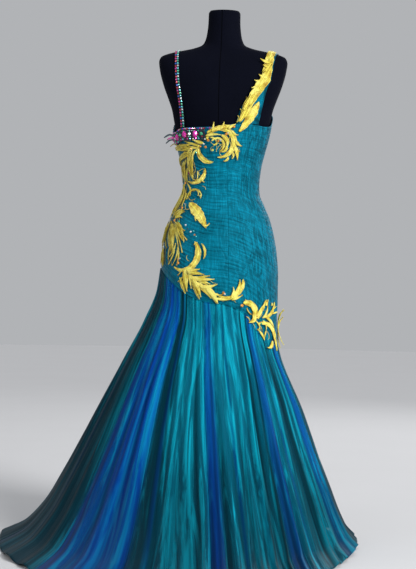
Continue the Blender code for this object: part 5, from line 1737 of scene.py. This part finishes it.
# Rows of stones on the band: turns, distance down from the top edge, pitch in degrees and radius.
BAND_ROWS = named_rows(
    "start end down pitch radius stretch colours",
    (BAND_FROM + 1, -8.0, 0.0030, 2.35, 0.0024, 1.0, ("clear", "red", "dark", "blue_stone", "magenta")),
    (BAND_FROM + 2, BAND_TO - 1, 0.0095, 2.4, 0.0020, 1.0, ("dark", "dark", "green", "dark", "dark")),
    (-96.4, BAND_TO - 3, 0.0185, 16.6, 0.0080, 1.35, ("magenta",)),
    (-88.1, BAND_TO - 3, 0.0180, 16.6, 0.0052, 1.0, ("green", "clear")),
    (-92.2, BAND_TO - 2, 0.0185, 8.3, 0.0022, 1.0, ("red", "dark")),
    (BAND_FROM + 2, BAND_TO - 1, 0.0255, 2.8, 0.0021, 1.0, ("dark", "red", "dark", "green")),
    (BAND_FROM + 3, BAND_TO - 2, 0.0310, 4.2, 0.0030, 1.0, ("aqua", "dark", "magenta")),
    (BAND_FROM + 1, BAND_TO - 1, 0.0352, 2.0, 0.0015, 1.0, ("dark",)),
)
STONE_SUNK = 0.0006


class GOWN_OT_band(bpy.types.Operator):
    """Jewelled band under the left of the back neckline"""

    bl_idname = "gown.band"
    bl_label = "Neckline band"

    def execute(self, context):
        columns, rows = 110, 20

        def place(u, v):
            turn = mixed(BAND_FROM, BAND_TO, u)
            up = top_edge(turn) - 0.001 - BAND_HEIGHT * (1 - v)
            puff = np.sin(np.pi * v) ** 0.5 * np.sin(np.pi * np.clip(u, 0.02, 0.98)) ** 0.3
            out = ruche_cover(turn, up) + LAY_GAP + MOTIF_CLOTH + 0.0008 * puff
            return sheath_point(turn, up, out), puff

        looks = (MOTIF_CLOTH, finish_of("band"), "jewel_band")
        replaced, under = ["neckline_band"], ["ruched_back_left"]
        cloth_piece("jewelled_band", columns, rows, place, *looks, replaced, "laid", under)
        stones = {}
        for line in BAND_ROWS:
            self.row(stones, line)
        for colour, placed in stones.items():
            gem_piece(f"band_stones_{colour}", placed, colour)
        return {"FINISHED"}

    def row(self, stones, line):
        """Puts a row of stones round the band."""
        count = int((line.end - line.start) / line.pitch)
        for k in range(count + 1):
            turn = line.start + k * line.pitch
            up = float(top_edge(turn)) - line.down
            out = float(ruche_cover(turn, up)) + LAY_GAP + MOTIF_CLOTH + STONE_SUNK
            point = sheath_point(np.array([turn]), np.array([up]), np.array([out]))[0]
            normal = normal_of(body_point, np.array([turn]), np.array([up]))[0]
            colour = line.colours[k % len(line.colours)]
            stones.setdefault(colour, []).append((point, normal, line.radius, line.stretch))


# Height that the lamps aim at, and the soft light from all round.
AIM_UP = 0.8
WORLD_COLOUR = (0.80, 0.82, 0.85, 1.0)
WORLD_STRENGTH = 0.55


class GOWN_OT_stage(bpy.types.Operator):
    """Pale floor, soft studio light and the camera"""

    bl_idname = "gown.stage"
    bl_label = "Stage"

    def execute(self, context):
        settings = context.scene.gown_stage
        built = bmesh.new()
        bmesh.ops.create_circle(built, cap_ends=True, segments=96, radius=settings.floor_radius)
        mesh = bpy.data.meshes.new("studio_floor")
        built.to_mesh(mesh)
        built.free()
        mesh.materials.append(floor_finish(settings.floor_colour))
        floor = bpy.data.objects.new("studio_floor", mesh)
        context.scene.collection.objects.link(floor)
        world = bpy.data.worlds.new("studio")
        world.use_nodes = True
        background = world.node_tree.nodes["Background"].inputs
        background["Color"].default_value = WORLD_COLOUR
        background["Strength"].default_value = WORLD_STRENGTH
        context.scene.world = world
        sun = bpy.data.lights.new("soft_sun", "SUN")
        sun.energy = settings.sun_strength
        sun.angle = math.radians(22.0)
        lights = [("soft_sun", sun, (2.4, -2.4, 2.6))]
        for name, spot, size, power in (
            ("key", (2.6, -2.4, 2.2), 1.4, settings.key_power),
            ("fill", (-3.0, -2.2, 1.8), 2.4, settings.fill_power),
            ("front", (1.0, 3.4, 2.4), 2.4, settings.fill_power * 1.6),
        ):
            lamp = bpy.data.lights.new(name, "AREA")
            lamp.shape = "DISK"
            lamp.size = size
            lamp.energy = power
            lights.append((name, lamp, spot))
        for name, lamp, spot in lights:
            holder = bpy.data.objects.new(name, lamp)
            holder.location = spot
            aim = Vector((0.0, 0.0, AIM_UP)) - Vector(spot)
            holder.rotation_euler = aim.to_track_quat("-Z", "Y").to_euler()
            context.scene.collection.objects.link(holder)
        context.scene.view_settings.view_transform = "Standard"
        self.camera(context, settings)
        return {"FINISHED"}

    def camera(self, context, settings):
        lens_pixels, wide, principal = 1722.0, 416, 219.1
        data = bpy.data.cameras.new("photo_view")
        data.sensor_fit = "HORIZONTAL"
        data.sensor_width = 36.0
        data.lens = lens_pixels / wide * data.sensor_width
        data.shift_x = (wide / 2 - principal) / wide
        camera = bpy.data.objects.new("photo_view", data)
        turn = settings.camera_turn
        spot = (
            settings.camera_distance * math.sin(turn),
            -settings.camera_distance * math.cos(turn),
            settings.camera_height,
        )
        camera.matrix_world = (
            Matrix.Translation(spot)
            @ Matrix.Rotation(turn, 4, "Z")
            @ Matrix.Rotation(math.radians(90.0) - settings.camera_tilt, 4, "X")
            @ Matrix.Rotation(settings.camera_roll, 4, "Z")
        )
        context.scene.collection.objects.link(camera)
        context.scene.camera = camera


OPERATORS = (
    GOWN_OT_form,
    GOWN_OT_stand,
    GOWN_OT_lining,
    GOWN_OT_net,
    GOWN_OT_bodice,
    GOWN_OT_straps,
    GOWN_OT_band,
    GOWN_OT_applique,
    GOWN_OT_tendrils,
    GOWN_OT_stage,
)


class GOWN_PT_panel(bpy.types.Panel):
    """Lists the gown's pieces"""

    bl_idname = "GOWN_PT_panel"
    bl_label = "Gown"
    bl_space_type = "VIEW_3D"
    bl_region_type = "UI"
    bl_category = "Gown"

    def draw(self, context):
        for group in ("gown_colours", "gown_cloth", "gown_stage"):
            settings = getattr(context.scene, group)
            box = self.layout.box()
            for name in settings.bl_rna.properties.keys():
                if name not in ("rna_type", "name"):
                    box.prop(settings, name)
        for operator in OPERATORS:
            self.layout.operator(operator.bl_idname)


SETTINGS = (("gown_colours", GownColours), ("gown_cloth", GownCloth), ("gown_stage", GownStage))


def register():
    for _, group in SETTINGS:
        bpy.utils.register_class(group)
    for operator in (*OPERATORS, GOWN_PT_panel):
        bpy.utils.register_class(operator)
    for name, group in SETTINGS:
        setattr(bpy.types.Scene, name, PointerProperty(type=group))


def unregister():
    for name, _ in SETTINGS:
        delattr(bpy.types.Scene, name)
    for operator in (GOWN_PT_panel, *reversed(OPERATORS)):
        bpy.utils.unregister_class(operator)
    for _, group in reversed(SETTINGS):
        bpy.utils.unregister_class(group)


def main():
    register()
    for operator in OPERATORS:
        getattr(bpy.ops.gown, operator.bl_idname.split(".")[1])()


if __name__ == "__main__":
    main()
